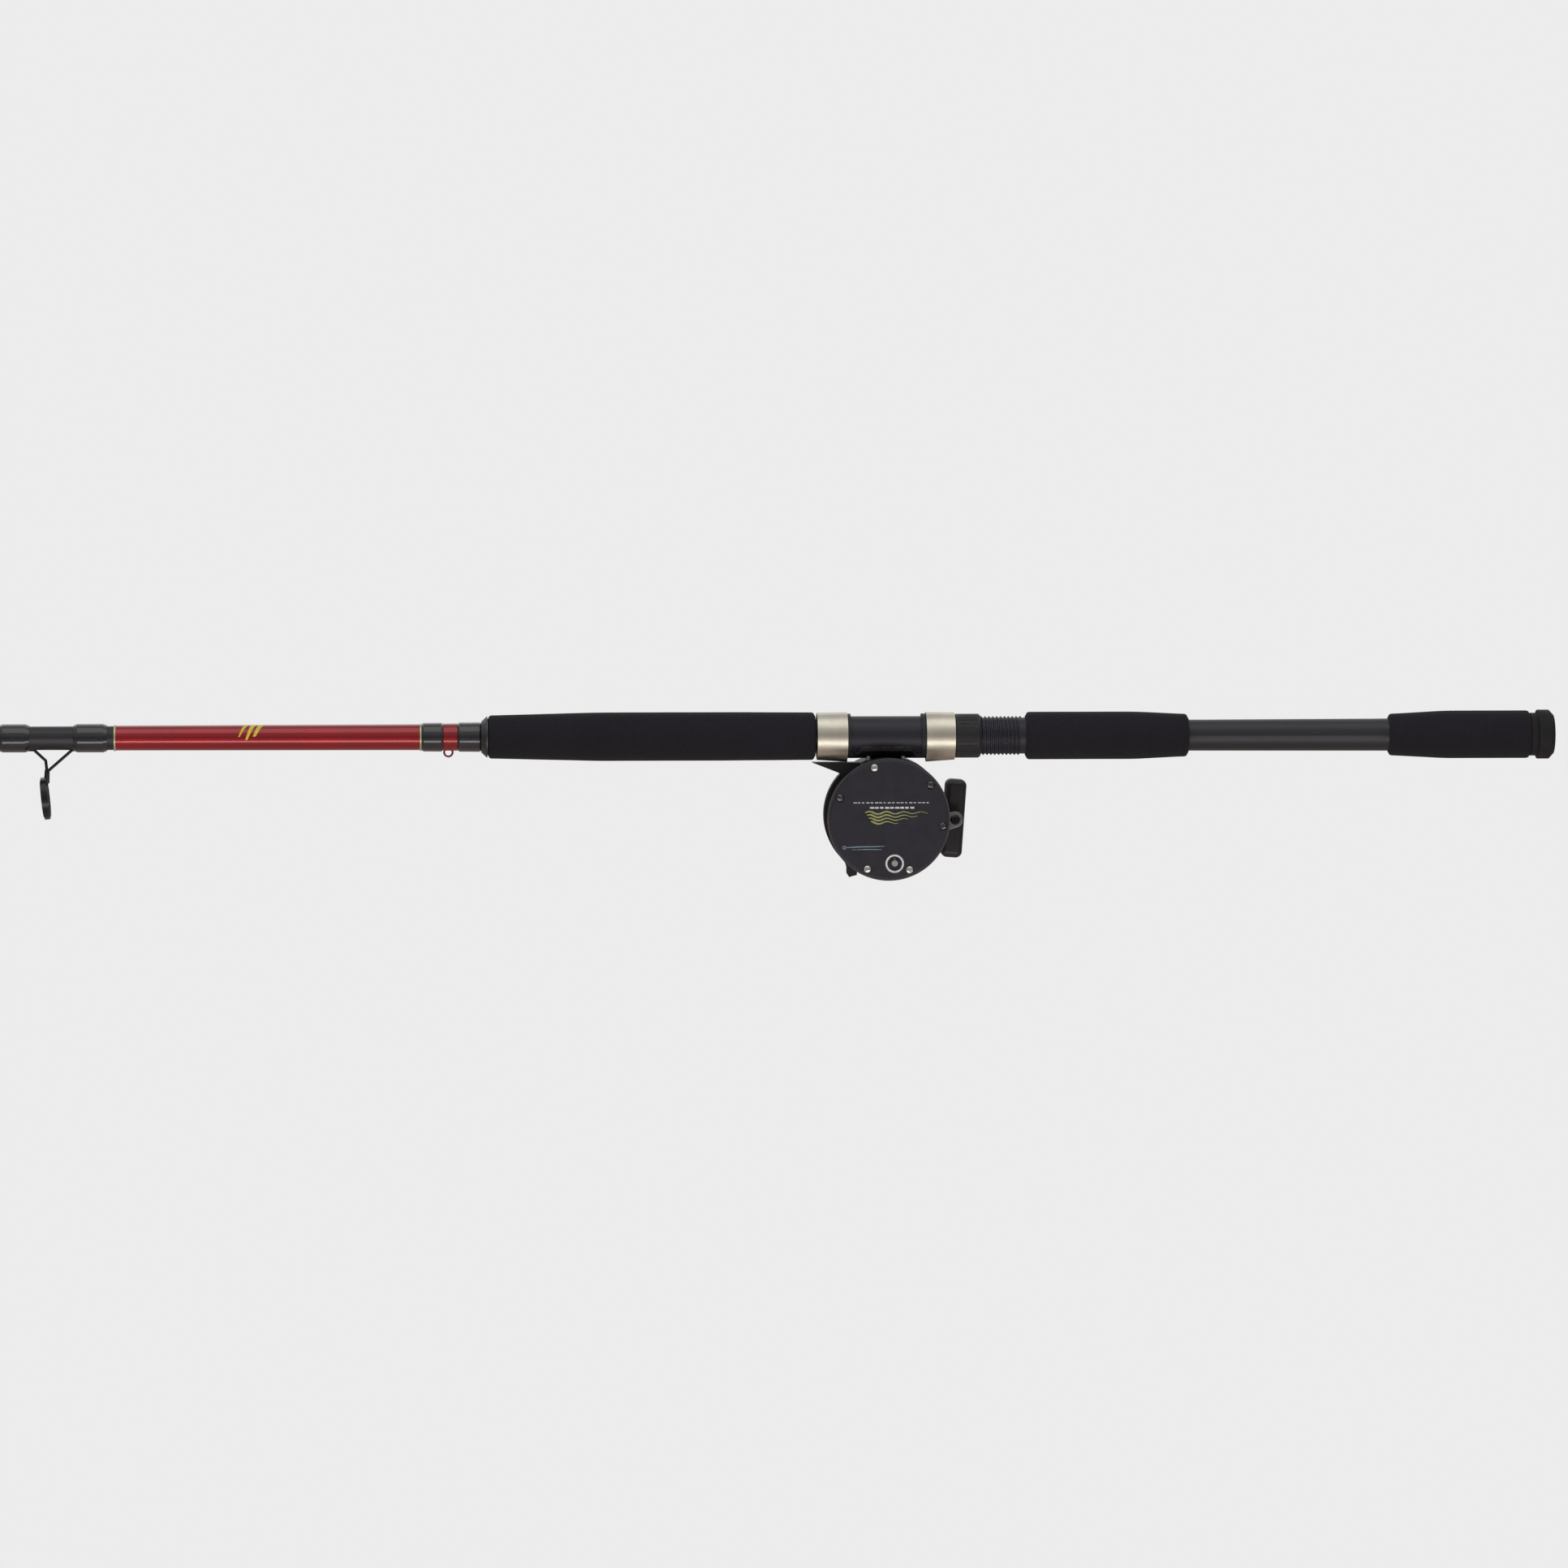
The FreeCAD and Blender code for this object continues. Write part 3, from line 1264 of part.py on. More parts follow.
def make_drive():
    """Everything the handle turns: sleeve, ratchet, drag stack and spacer."""
    stud_x, stud_z = stud_centre()
    start = size.bridge_side + size.bridge_wall + 0.3
    bore = size.stud_r + size.running_gap
    arm_end = size.arm_side + size.arm_wall
    stud_end = size.bridge_side + size.bridge_wall + 10.9
    keep("drive_sleeve", reel_lathe("drive_sleeve", [
        (start, bore),
        (start, 6.5),
        (start + 0.6, 6.5),
        (start + 0.6, size.sleeve_r),
        (size.arm_side, size.sleeve_r),
        (size.arm_side, 3.0),
        (arm_end + 2.6, 3.0),
        (arm_end + 2.6, 0),
        (stud_end, 0),
        (stud_end, bore),
    ], stud_x, stud_z))
    ratchet = star_gear(12, 7.3, 9.0, float(size.sleeve_r), 0.85).extrude(Y_AXIS * 1.7)
    spot = reel_spot(stud_x, start + 0.6, stud_z)
    keep("ratchet_wheel", feature("ratchet_wheel_cut", ratchet, spot))
    recess = size.main_gear_side + 1.3
    fibre = []
    for index, side in enumerate((recess, recess + 1.2)):
        fibre.append(stack_ring(f"fibre_{index}", side, 0.6, 11.8))
    group("drag_washers", fibre)
    steel = [
        stack_ring("keyed_plate_0", recess + 0.6, 0.6, 11.4),
        stack_ring("keyed_plate_1", recess + 1.8, 0.8, 11.4),
    ]
    group("drag_plates", steel)
    keep("drag_spacer", stack_ring("drag_spacer", recess + 2.6, size.star_side - recess - 2.7,
                                   size.sleeve_r + 1.4))


def stack_ring(name, side, width, outer_r):
    """A washer or spacer on the drive sleeve."""
    stud_x, stud_z = stud_centre()
    bore = size.sleeve_r + 0.05
    return reel_lathe(name, [
        (side, bore), (side, outer_r), (side + width, outer_r), (side + width, bore),
    ], stud_x, stud_z)


def make_dog():
    """The anti-reverse dog: a pawl on its own post, lifted clear of the ratchet at rest."""
    x, side, z = (float(number) for number in dog_spot(24.3))
    stud_x, stud_z = (float(number) for number in stud_centre())
    pivot = FreeCAD.Vector(x, 0, z)
    stud = FreeCAD.Vector(stud_x, 0, stud_z)
    inward = (stud - pivot).normalize()
    across = FreeCAD.Vector(-inward.z, 0, inward.x)
    tip = stud - inward.multiply(1.0) * 6.0 + across * 7.3
    nose = [tip, tip - inward * 2.2 + across * 1.0, pivot + across * 2.6, pivot - inward * 2.4,
            pivot - across * 2.2, pivot + inward * 2.2]
    corners = [FreeCAD.Vector(point.x, side, point.z) for point in nose]
    plate = Part.Face(Part.makePolygon(corners + corners[:1])).extrude(Y_AXIS * 1.5)
    hole = y_cylinder(1.56, 20, 30)
    hole.translate(pivot)
    keep("anti_reverse_dog", feature("dog_plate", plate.cut(hole), reel_spot()))


def make_star_drag():
    """A five-armed star wheel threaded on the drive sleeve under the handle."""
    stud_x, stud_z = stud_centre()
    side = float(size.star_side)
    hub = y_cylinder(7.6, side, side + 4.0)
    for index in range(5):
        angle = math.radians(90 + 72 * index)
        out = FreeCAD.Vector(math.cos(angle), 0, math.sin(angle))
        across = FreeCAD.Vector(-out.z, 0, out.x)
        tip_r = 3.0
        reach = float(size.star_r) - tip_r
        corners = [out * 4 + across * 4.4, out * reach + across * tip_r,
                   out * reach - across * tip_r, out * 4 - across * 4.4]
        lifted = [corner + Y_AXIS * (side + 0.3) for corner in corners]
        arm = Part.Face(Part.makePolygon(lifted + lifted[:1])).extrude(Y_AXIS * 3.0)
        end = Part.makeCylinder(tip_r, 3.0, out * reach + Y_AXIS * (side + 0.3), Y_AXIS)
        hub = hub.fuse(arm).fuse(end)
    hub = hub.cut(y_cylinder(size.sleeve_r + 0.07, side - 1, side + 6)).removeSplitter()
    keep("star_drag", feature("star_drag_wheel", hub, reel_spot(stud_x, 0, stud_z)))


def make_handle():
    """The crank arm, its nut, the rivet that the knob turns on, and the T-bar knob."""
    stud_x, stud_z = stud_centre()
    run_x = float(size.crank_x) - float(stud_x)
    run_z = float(size.crank_z) - float(stud_z)
    length = math.hypot(run_x, run_z)
    slope = math.degrees(math.atan2(run_z, run_x))
    side = float(size.arm_side)
    wall = float(size.arm_wall)
    hub_r = 7.0
    end_r = 5.3
    lean = (hub_r - end_r) / length
    reach = math.sqrt(1.0 - lean * lean)
    hub_top = FreeCAD.Vector(hub_r * lean, side, hub_r * reach)
    end_top = FreeCAD.Vector(length + end_r * lean, side, end_r * reach)
    hub_low = FreeCAD.Vector(hub_top.x, side, -hub_top.z)
    end_low = FreeCAD.Vector(end_top.x, side, -end_top.z)
    outline = Part.Wire([
        Part.LineSegment(hub_top, end_top).toShape(),
        Part.Arc(end_top, FreeCAD.Vector(length + end_r, side, 0), end_low).toShape(),
        Part.LineSegment(end_low, hub_low).toShape(),
        Part.Arc(hub_low, FreeCAD.Vector(-hub_r, side, 0), hub_top).toShape(),
    ])
    arm = Part.Face(outline).extrude(Y_AXIS * wall)
    arm = arm.makeFillet(0.6, [edge for edge in arm.Edges if edge.Length > 12.0])
    arm = arm.cut(y_cylinder(3.0, side - 1, side + wall + 1))
    pin_hole = y_cylinder(size.knob_pin_r, side - 1, side + wall + 1)
    pin_hole.translate(FreeCAD.Vector(length, 0, 0))
    turn = FreeCAD.Rotation(Y_AXIS, -slope)
    keep("handle_arm", feature("handle_arm_plate", arm.cut(pin_hole), reel_spot(stud_x, 0, stud_z), turn))
    make_handle_nut(stud_x, stud_z, size.arm_side + size.arm_wall)
    make_knob()


def make_handle_nut(stud_x, stud_z, side):
    prism = doc.addObject("Part::Prism", "handle_nut_prism")
    prism.Polygon = 6
    prism.Circumradius = 5.2
    prism.Height = 3.4
    place(prism, reel_spot(stud_x, side, stud_z), CYLINDER_ALONG_Y)
    bore = cylinder("handle_nut_bore", 3.0, 2.7, reel_spot(stud_x, side - 0.1, stud_z))
    keep("handle_nut", cut("handle_nut_cut", prism, [bore]))


def make_knob():
    """A T-bar knob that spins on a rivet through the crank's end."""
    x, z = size.crank_x, size.crank_z
    arm_in = size.arm_side
    arm_out = size.arm_side + size.arm_wall
    pin_end = size.knob_side + 16.0
    keep("knob_rivet", reel_lathe("knob_rivet", [
        (arm_in - 1.1, 0),
        (arm_in - 1.1, 2.2),
        (arm_in, 3.3),
        (arm_in, size.knob_pin_r),
        (pin_end, size.knob_pin_r),
        (pin_end, 0),
    ], x, z))
    side = size.knob_side
    stem_points = [
        (side, size.knob_pin_r + 0.06),
        (side, 5.6),
        (side + size.knob_stem + 3.0, 4.6),
        (side + size.knob_stem + 3.0, size.knob_pin_r + 0.06),
    ]
    stem = reel_lathe("knob_stem_turned", stem_points, x, z)
    turn = FreeCAD.Rotation(Y_AXIS, float(size.knob_tilt))
    corner = turn.multVec(FreeCAD.Vector(-float(size.knob_width) / 2.0, 0, -float(size.knob_length) / 2.0))
    blank = box("knob_blank", (size.knob_width, size.knob_depth, size.knob_length),
                reel_spot(x + corner.x, side + size.knob_stem, z + corner.z), turn)
    doc.recompute()
    rounded = doc.addObject("Part::Fillet", "knob_rounded")
    rounded.Base = blank
    rounded.Edges = [(index, 4.2, 4.2) for index in range(1, 13)]
    bore = cylinder("knob_bore", size.knob_pin_r + 0.06, 18.0, reel_spot(x, side - 0.5, z))
    keep("handle_knob", cut("handle_knob_cut", fuse("handle_knob_whole", [stem, rounded]), [bore]))


def make_lever():
    """The free-spool lever outside the cover and its shaft, with the cam inside that lifts the yoke."""
    x, z = size.lever_x, size.lever_z
    side = size.lever_side
    run_x = float(size.lever_tip_x) - float(x)
    run_z = float(size.lever_tip_z) - float(z)
    length = math.hypot(run_x, run_z)
    slope = math.degrees(math.atan2(run_z, run_x))
    hub = y_cylinder(4.6, 0, float(size.lever_wall))
    corners = [FreeCAD.Vector(px, 0, pz) for px, pz in (
        (0, 4.2), (length - 7, 2.6), (length - 3, 3.6), (length, 2.6), (length, -2.6),
        (length - 3, -3.6), (length - 7, -2.6), (0, -4.2))]
    arm = Part.Face(Part.makePolygon(corners + corners[:1])).extrude(Y_AXIS * float(size.lever_wall))
    shape = hub.fuse(arm).removeSplitter()
    shape = shape.cut(y_cylinder(1.5, -1, 5))
    keep("freespool_lever", feature("freespool_lever_plate", shape, reel_spot(x, side, z),
                                    FreeCAD.Rotation(Y_AXIS, -slope)))
    shaft_end = float(side + size.lever_wall)
    cam_side = 23.8
    shaft = y_cylinder(2.0, cam_side, float(side)).fuse(y_cylinder(1.5, float(side) - 1, shaft_end))
    disc = y_cylinder(4.4, cam_side, cam_side + 0.5)
    keep("freespool_cam", feature("freespool_cam_turned", shaft.fuse(disc).removeSplitter(),
                                  reel_spot(x, 0, z)))


# ---------------------------------------------------------------- build


def build():
    write_sheet()
    make_butt_cap()
    make_grips()
    make_butt_blank()
    make_foretrim()
    make_hook_keeper()
    make_seat()
    make_bushings()
    make_lock_nut()
    make_hood("moving", size.hood_lip, size.hood_mouth, size.hood_start)
    make_hood("fixed", size.fixed_lip, size.fixed_mouth, size.fixed_end)
    rivets, foot_bar = make_foot()
    make_tip_blank()
    make_guides()
    make_reel_frame(rivets, foot_bar)
    make_trim_ring()
    make_left_plate()
    make_cover()
    make_screws()
    make_spool()
    make_clicker()
    make_gears()
    make_bridge()
    make_yoke()
    make_drive()
    make_dog()
    make_star_drag()
    make_handle()
    make_lever()
    doc.recompute()


def check_document():
    faults = []
    for thing in doc.Objects:
        if "Invalid" in thing.State or "Error" in thing.State:
            faults.append(f"{thing.Name}: {thing.State}")
    for label, thing in nodes.items():
        if thing.Shape.isNull() or not thing.Shape.isValid() or not thing.Shape.Solids:
            faults.append(f"{label}: no valid solid")
    if faults:
        raise RuntimeError("; ".join(faults))


def write_steps():
    os.makedirs("parts", exist_ok=True)
    for label, thing in nodes.items():
        thing.Shape.exportStep(f"parts/{label}.step")
        print(f"{label:22s} solids {len(thing.Shape.Solids):3d} volume {thing.Shape.Volume:12.1f}")
    print(len(nodes), "sub-parts")


build()
check_document()
write_steps()
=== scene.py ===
"""Fishing rod and reel: the shown model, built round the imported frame."""
import json
import math

import bmesh
import bpy
from bpy.props import FloatProperty, FloatVectorProperty, PointerProperty
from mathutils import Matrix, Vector, noise

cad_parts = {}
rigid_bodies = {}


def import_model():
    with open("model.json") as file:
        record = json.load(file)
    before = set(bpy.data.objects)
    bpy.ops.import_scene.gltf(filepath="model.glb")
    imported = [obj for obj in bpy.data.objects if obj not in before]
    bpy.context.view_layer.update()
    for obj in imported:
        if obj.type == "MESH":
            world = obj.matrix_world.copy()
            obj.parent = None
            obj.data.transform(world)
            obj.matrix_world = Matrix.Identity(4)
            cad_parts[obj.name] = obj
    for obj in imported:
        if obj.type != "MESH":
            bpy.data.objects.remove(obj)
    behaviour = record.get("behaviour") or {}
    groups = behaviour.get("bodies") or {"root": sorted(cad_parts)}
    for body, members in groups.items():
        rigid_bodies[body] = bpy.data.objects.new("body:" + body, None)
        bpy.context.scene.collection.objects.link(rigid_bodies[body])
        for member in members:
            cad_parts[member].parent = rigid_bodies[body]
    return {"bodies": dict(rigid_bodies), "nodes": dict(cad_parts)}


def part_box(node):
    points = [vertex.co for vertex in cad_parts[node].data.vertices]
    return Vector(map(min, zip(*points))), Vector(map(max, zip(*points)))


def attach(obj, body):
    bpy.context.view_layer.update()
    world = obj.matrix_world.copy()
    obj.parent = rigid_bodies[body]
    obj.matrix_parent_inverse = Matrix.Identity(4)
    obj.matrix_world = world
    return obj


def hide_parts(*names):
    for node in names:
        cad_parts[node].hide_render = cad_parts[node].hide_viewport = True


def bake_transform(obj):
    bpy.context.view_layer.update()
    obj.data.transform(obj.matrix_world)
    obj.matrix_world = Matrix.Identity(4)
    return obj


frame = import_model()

bl_info = {
    "name": "Fishing Rod and Reel",
    "version": (1, 0, 0),
    "blender": (4, 5, 0),
    "location": "3D View > Sidebar > Rod and Reel",
    "description": "Builds the shown model of a boat rod and star-drag reel round its packed frame",
    "category": "Add Mesh",
}

MM = 0.001
KEPT = set(frame["nodes"].values()) | set(frame["bodies"].values())
for spare in [o for o in bpy.data.objects if o not in KEPT]:
    bpy.data.objects.remove(spare)
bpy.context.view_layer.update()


def screen(red, green, blue):
    """A screen colour, 0 to 255 a channel, as the linear colour that shaders use."""
    def linear(value):
        share = value / 255
        return share / 12.92 if share < 0.04045 else ((share + 0.055) / 1.055) ** 2.4
    return (linear(red), linear(green), linear(blue))


# ------------------------------------------------------------------ settings
def paint(name, description, *channels):
    """A screen colour a user may change."""
    return FloatVectorProperty(
        name=name, description=description, default=screen(*channels), subtype="COLOR", min=0, max=1
    )


def length(name, description, millimetres):
    """A length a user may change, given in millimetres."""
    return FloatProperty(
        name=name, description=description, default=millimetres * MM, min=0, unit="LENGTH", precision=5
    )


class RodSettings(bpy.types.PropertyGroup):
    """Sizes and colours of the rod and its seat."""

    foam: paint("Foam", "Colour of the foam grips", 35, 33, 39)
    rubber: paint("Rubber", "Colour of the butt cap", 30, 29, 30)
    blank: paint("Blank", "Colour of the painted blank", 28, 27, 34)
    lacquer: paint("Lacquer", "Colour of the sleeve and the keeper band", 146, 2, 18)
    thread: paint("Wrap thread", "Colour of the thread under its varnish", 14, 13, 20)
    trim: paint("Trim thread", "Colour of the narrow trim bands", 196, 190, 150)
    accent: paint("Accent", "Colour of the slanted marks on the sleeve", 232, 208, 62)
    hood: paint("Hood metal", "Colour of the seat's two hoods", 212, 206, 190)
    barrel: paint("Barrel", "Colour of the seat's barrel", 30, 28, 40)
    cell: length("Foam cell", "Width of one cell of the foam", 0.45)
    strand: length("Strand", "Width of one turn of wrap thread", 0.32)
    accent_start: length("Accent start", "Where the sleeve's marks begin, from the butt", 826)
    accent_length: length("Accent length", "Length of rod that the sleeve's marks take up", 22)


class ReelSettings(bpy.types.PropertyGroup):
    """Sizes and colours of the reel."""

    plate: paint("Side plate", "Colour of the near side plate", 35, 34, 43)
    frame: paint("Frame", "Colour of the frame and the gear cover", 24, 23, 26)
    rim: paint("Rim", "Colour of the trim ring between plate and frame", 128, 128, 134)
    ink: paint("White ink", "Colour of the plate's white print", 226, 226, 230)
    leaf_ink: paint("Green ink", "Colour of the plate's wave mark", 166, 168, 104)
    sky_ink: paint("Blue ink", "Colour of the plate's pale lines", 132, 156, 172)
    screw: paint("Screw", "Colour of a screw's bare steel", 198, 196, 192)
    knob: paint("Knob", "Colour of the handle's grip", 33, 31, 34)
    spool: paint("Spool", "Colour of the spool", 150, 152, 158)
    ink_depth: length("Ink depth", "How far the print stands off the plate", 0.05)
    head_radius: length("Screw head", "Radius of a side plate screw's head", 2.5)
    head_height: length("Head height", "Height of a side plate screw's domed head", 1.15)
    slot_width: length("Slot width", "Width of the slot across a screw's head", 0.8)
    slot_depth: length("Slot depth", "Depth of the slot across a screw's head", 0.75)


class StageSettings(bpy.types.PropertyGroup):
    """Camera and lights."""

    azimuth: FloatProperty(
        name="Azimuth", description="Camera's bearing round the rod",
        default=math.radians(-2.95), subtype="ANGLE",
    )
    elevation: FloatProperty(
        name="Elevation", description="Camera's height above level",
        default=math.radians(3.44), subtype="ANGLE",
    )
    distance: FloatProperty(name="Distance", description="Camera to rod", default=5.0, unit="LENGTH")
    lens: FloatProperty(name="Lens", description="Focal length", default=179.0, unit="CAMERA")
    sight: FloatVectorProperty(
        name="Sight", description="Point the camera looks at",
        default=(-0.496, 0, -0.0307), subtype="TRANSLATION",
    )
    backdrop: paint("Backdrop", "Colour of the floor and the air behind it", 236, 236, 236)
    fill: FloatProperty(
        name="Fill", description="Brightness of the light from all round", default=0.45, min=0
    )
    floor_drop: FloatProperty(
        name="Floor", description="How far the floor lies below the rod", default=1.6, unit="LENGTH"
    )


# ------------------------------------------------------------------ shared effects
def effect_tree(name, outputs, **numbers):
    """An empty shader group for a place and some numbers: the tree, its inputs' and its outputs' sockets."""
    tree = bpy.data.node_groups.new(name, "ShaderNodeTree")
    tree.interface.new_socket(name="Place", in_out="INPUT", socket_type="NodeSocketVector")
    for label, default in numbers.items():
        socket = tree.interface.new_socket(name=label, in_out="INPUT", socket_type="NodeSocketFloat")
        socket.default_value = default
    for label in outputs:
        tree.interface.new_socket(name=label, in_out="OUTPUT", socket_type="NodeSocketFloat")
    source = tree.nodes.new("NodeGroupInput").outputs
    sink = tree.nodes.new("NodeGroupOutput").inputs
    return tree, source, sink


def put(tree, kind, settings=None, **inputs):
    """Adds a node; each input, by name or as i and its number, takes a value or a link to a socket."""
    node = tree.nodes.new(kind)
    for key, value in (settings or {}).items():
        setattr(node, key, value)
    for key, value in inputs.items():
        numbered = key[0] == "i" and key[1:].isdigit()
        socket = node.inputs[int(key[1:]) if numbered else key.replace("_", " ")]
        if isinstance(value, bpy.types.NodeSocket):
            tree.links.new(value, socket)
        else:
            socket.default_value = value
    return node


def calc(tree, operation, first, second=0.0, third=0.0):
    """One arithmetic step; the answer's socket."""
    node = put(tree, "ShaderNodeMath", {"operation": operation}, i0=first, i1=second, i2=third)
    return node.outputs[0]


def cloud_of(tree, place, scale, detail, roughness=0.5):
    """A noise's value at a place."""
    node = put(
        tree, "ShaderNodeTexNoise", None, Vector=place, Scale=scale, Detail=detail, Roughness=roughness
    )
    return node.outputs[0]


def span(tree, value, low, high, to_low=0.0, to_high=1.0):
    """The value's range low to high, stretched to another range and held at its ends."""
    node = put(tree, "ShaderNodeMapRange", None, i0=value, i1=low, i2=high, i3=to_low, i4=to_high)
    return node.outputs[0]


def uneven_tone():
    """Soft cloudy unevenness."""
    tree, source, sink = effect_tree("Uneven tone", ["Mask"], Scale=60.0, Contrast=0.25)
    half = calc(tree, "SUBTRACT", cloud_of(tree, source["Place"], source["Scale"], 4.0), 0.5)
    wide = calc(tree, "DIVIDE", half, source["Contrast"])
    tree.links.new(span(tree, wide, -0.5, 0.5), sink["Mask"])
    return tree


def edge_wear():
    """Where corners have rubbed, broken up by a cloud."""
    tree, source, sink = effect_tree("Edge wear", ["Mask"], Width=0.0004, Scale=400.0)
    soft = put(tree, "ShaderNodeBevel", {"samples": 4}, Radius=source["Width"])
    true = put(tree, "ShaderNodeNewGeometry")
    match = put(
        tree, "ShaderNodeVectorMath", {"operation": "DOT_PRODUCT"},
        i0=soft.outputs[0], i1=true.outputs["Normal"],
    )
    bent = span(tree, match.outputs["Value"], 0.985, 0.86)
    broken = span(tree, cloud_of(tree, source["Place"], source["Scale"], 3.0), 0.42, 0.62)
    tree.links.new(calc(tree, "MULTIPLY", bent, broken), sink["Mask"])
    return tree


def foam_cells():
    """Closed cells of a ground foam: a height, and how deep each cell lies, used to darken the pits as
    painted shade.
    """
    tree, source, sink = effect_tree("Foam cells", ["Height", "Depth"], Cell=0.00045)
    count = calc(tree, "DIVIDE", 1.0, source["Cell"])
    cells = put(tree, "ShaderNodeTexVoronoi", None, Vector=source["Place"], Scale=count, Randomness=1.0)
    broad = calc(tree, "MULTIPLY", count, 0.22)
    lumps = cloud_of(tree, source["Place"], broad, 5.0, 0.7)
    pit = span(tree, cells.outputs["Distance"], 0.0, 0.55)
    tree.links.new(calc(tree, "MULTIPLY_ADD", lumps, 0.9, pit), sink["Height"])
    # Depth: darker where a cell lies deep, the painted shade of the pits
    tree.links.new(calc(tree, "MULTIPLY", pit, span(tree, lumps, 0.3, 0.7)), sink["Depth"])
    return tree


def thread_turns():
    """Close turns of thread round the rod: their round backs, and each turn's own tone."""
    tree, source, sink = effect_tree("Thread turns", ["Height", "Tone"], Strand=0.0003)
    along = put(tree, "ShaderNodeSeparateXYZ", None, i0=source["Place"]).outputs[0]
    turns = calc(tree, "DIVIDE", along, source["Strand"])
    back = calc(tree, "ABSOLUTE", calc(tree, "SINE", calc(tree, "MULTIPLY", turns, math.pi)))
    tree.links.new(calc(tree, "POWER", back, 0.6), sink["Height"])
    each = put(tree, "ShaderNodeTexWhiteNoise", {"noise_dimensions": "1D"}, W=calc(tree, "FLOOR", turns))
    tree.links.new(each.outputs["Value"], sink["Tone"])
    return tree


def turned_marks():
    """Fine rings left by turning or sanding about the rod's line."""
    tree, source, sink = effect_tree("Turned marks", ["Height"], Pitch=0.0004)
    along = put(tree, "ShaderNodeSeparateXYZ", None, i0=source["Place"]).outputs[0]
    step = calc(tree, "DIVIDE", along, source["Pitch"])
    rings = put(
        tree, "ShaderNodeTexNoise", {"noise_dimensions": "1D"}, W=step, Scale=1.0, Detail=4.0, Roughness=0.7
    )
    tree.links.new(rings.outputs[0], sink["Height"])
    return tree


def fine_grain():
    """Moulded or cast grain: a height."""
    tree, source, sink = effect_tree("Fine grain", ["Height"], Grain=0.0004)
    count = calc(tree, "DIVIDE", 1.0, source["Grain"])
    tree.links.new(cloud_of(tree, source["Place"], count, 3.0, 0.6), sink["Height"])
    return tree


def hairlines():
    """Thin handling scratches, as a mask."""
    tree, source, sink = effect_tree("Hairlines", ["Mask"], Scale=90.0)
    bend = put(
        tree, "ShaderNodeMapping", None,
        Vector=source["Place"], Rotation=(0.3, 0.5, 0.4), Scale=(1.0, 9.0, 9.0),
    )
    lines = cloud_of(tree, bend.outputs[0], source["Scale"], 6.0, 0.75)
    tree.links.new(span(tree, lines, 0.60, 0.68), sink["Mask"])
    return tree


def settled_dust():
    """Dust caught on upward faces, as a mask."""
    tree, source, sink = effect_tree("Settled dust", ["Mask"], Scale=260.0)
    facing = put(tree, "ShaderNodeNewGeometry")
    up = put(tree, "ShaderNodeSeparateXYZ", None, i0=facing.outputs["Normal"]).outputs[2]
    cloud = cloud_of(tree, source["Place"], source["Scale"], 6.0, 0.7)
    caught = calc(tree, "MULTIPLY", span(tree, up, 0.2, 1.0), span(tree, cloud, 0.5, 0.75))
    tree.links.new(caught, sink["Mask"])
    return tree


EFFECTS = {}


def effect(maker):
    """The shader group that maker builds, built once."""
    if maker.__name__ not in EFFECTS:
        EFFECTS[maker.__name__] = maker()
    return EFFECTS[maker.__name__]


class Finish:
    """A material being built round its Principled shader."""

    def __init__(self, name, **sockets):
        self.material = bpy.data.materials.new(name)
        self.material.use_nodes = True
        self.tree = self.material.node_tree
        self.shader = self.tree.nodes["Principled BSDF"]
        for socket, value in sockets.items():
            self.shader.inputs[socket.replace("_", " ")].default_value = value
        self.place = put(self.tree, "ShaderNodeTexCoord").outputs["Object"]

    def use(self, maker, **inputs):
        """Puts a shared effect in this material."""
        node = put(self.tree, "ShaderNodeGroup", {"node_tree": effect(maker)}, Place=self.place, **inputs)
        return node.outputs

    def mix(self, mask, low, high):
        """A colour between low and high by the mask; either may be a socket."""
        node = self.tree.nodes.new("ShaderNodeMix")
        node.data_type = "RGBA"
        for index, value in ((0, mask), (6, low), (7, high)):
            if isinstance(value, bpy.types.NodeSocket):
                self.tree.links.new(value, node.inputs[index])
            else:
                node.inputs[index].default_value = (*value, 1)
        return node.outputs[2]

    def tone(self, scale, contrast=0.5):
        """Cloudy unevenness, as a mask."""
        return self.use(uneven_tone, Scale=scale, Contrast=contrast)["Mask"]

    def wear(self, width, scale):
        """Rubbed corners, as a mask; the width in millimetres."""
        return self.use(edge_wear, Width=width * MM, Scale=scale)["Mask"]

    def scratches(self, scale):
        """Handling scratches, as a mask."""
        return self.use(hairlines, Scale=scale)["Mask"]

    def grain(self, size):
        """Moulded or cast grain, as a height; the size in millimetres."""
        return self.use(fine_grain, Grain=size * MM)["Height"]

    def shades(self, mask, colour, low, high=1.0):
        """Between two brightnesses of one colour by the mask."""
        return self.mix(mask, lighter(colour, low), lighter(colour, high))

    def part(self, mask, share, low, high):
        """A mix by only a share of the mask."""
        return self.mix(calc(self.tree, "MULTIPLY", mask, share), low, high)

    def colour(self, socket):
        self.tree.links.new(socket, self.shader.inputs["Base Color"])
        return self

    def roughness(self, mask, low, high):
        self.tree.links.new(span(self.tree, mask, 0, 1, low, high), self.shader.inputs["Roughness"])
        return self

    def metallic(self, mask, low, high):
        self.tree.links.new(span(self.tree, mask, 0, 1, low, high), self.shader.inputs["Metallic"])
        return self

    def bump(self, height, millimetres, strength=1.0):
        depth = millimetres * MM
        node = put(self.tree, "ShaderNodeBump", None, Height=height, Distance=depth, Strength=strength)
        self.tree.links.new(node.outputs[0], self.shader.inputs["Normal"])
        return self


def lighter(colour, factor):
    """The colour, brighter or darker by a factor."""
    return tuple(min(1.0, channel * factor) for channel in colour)


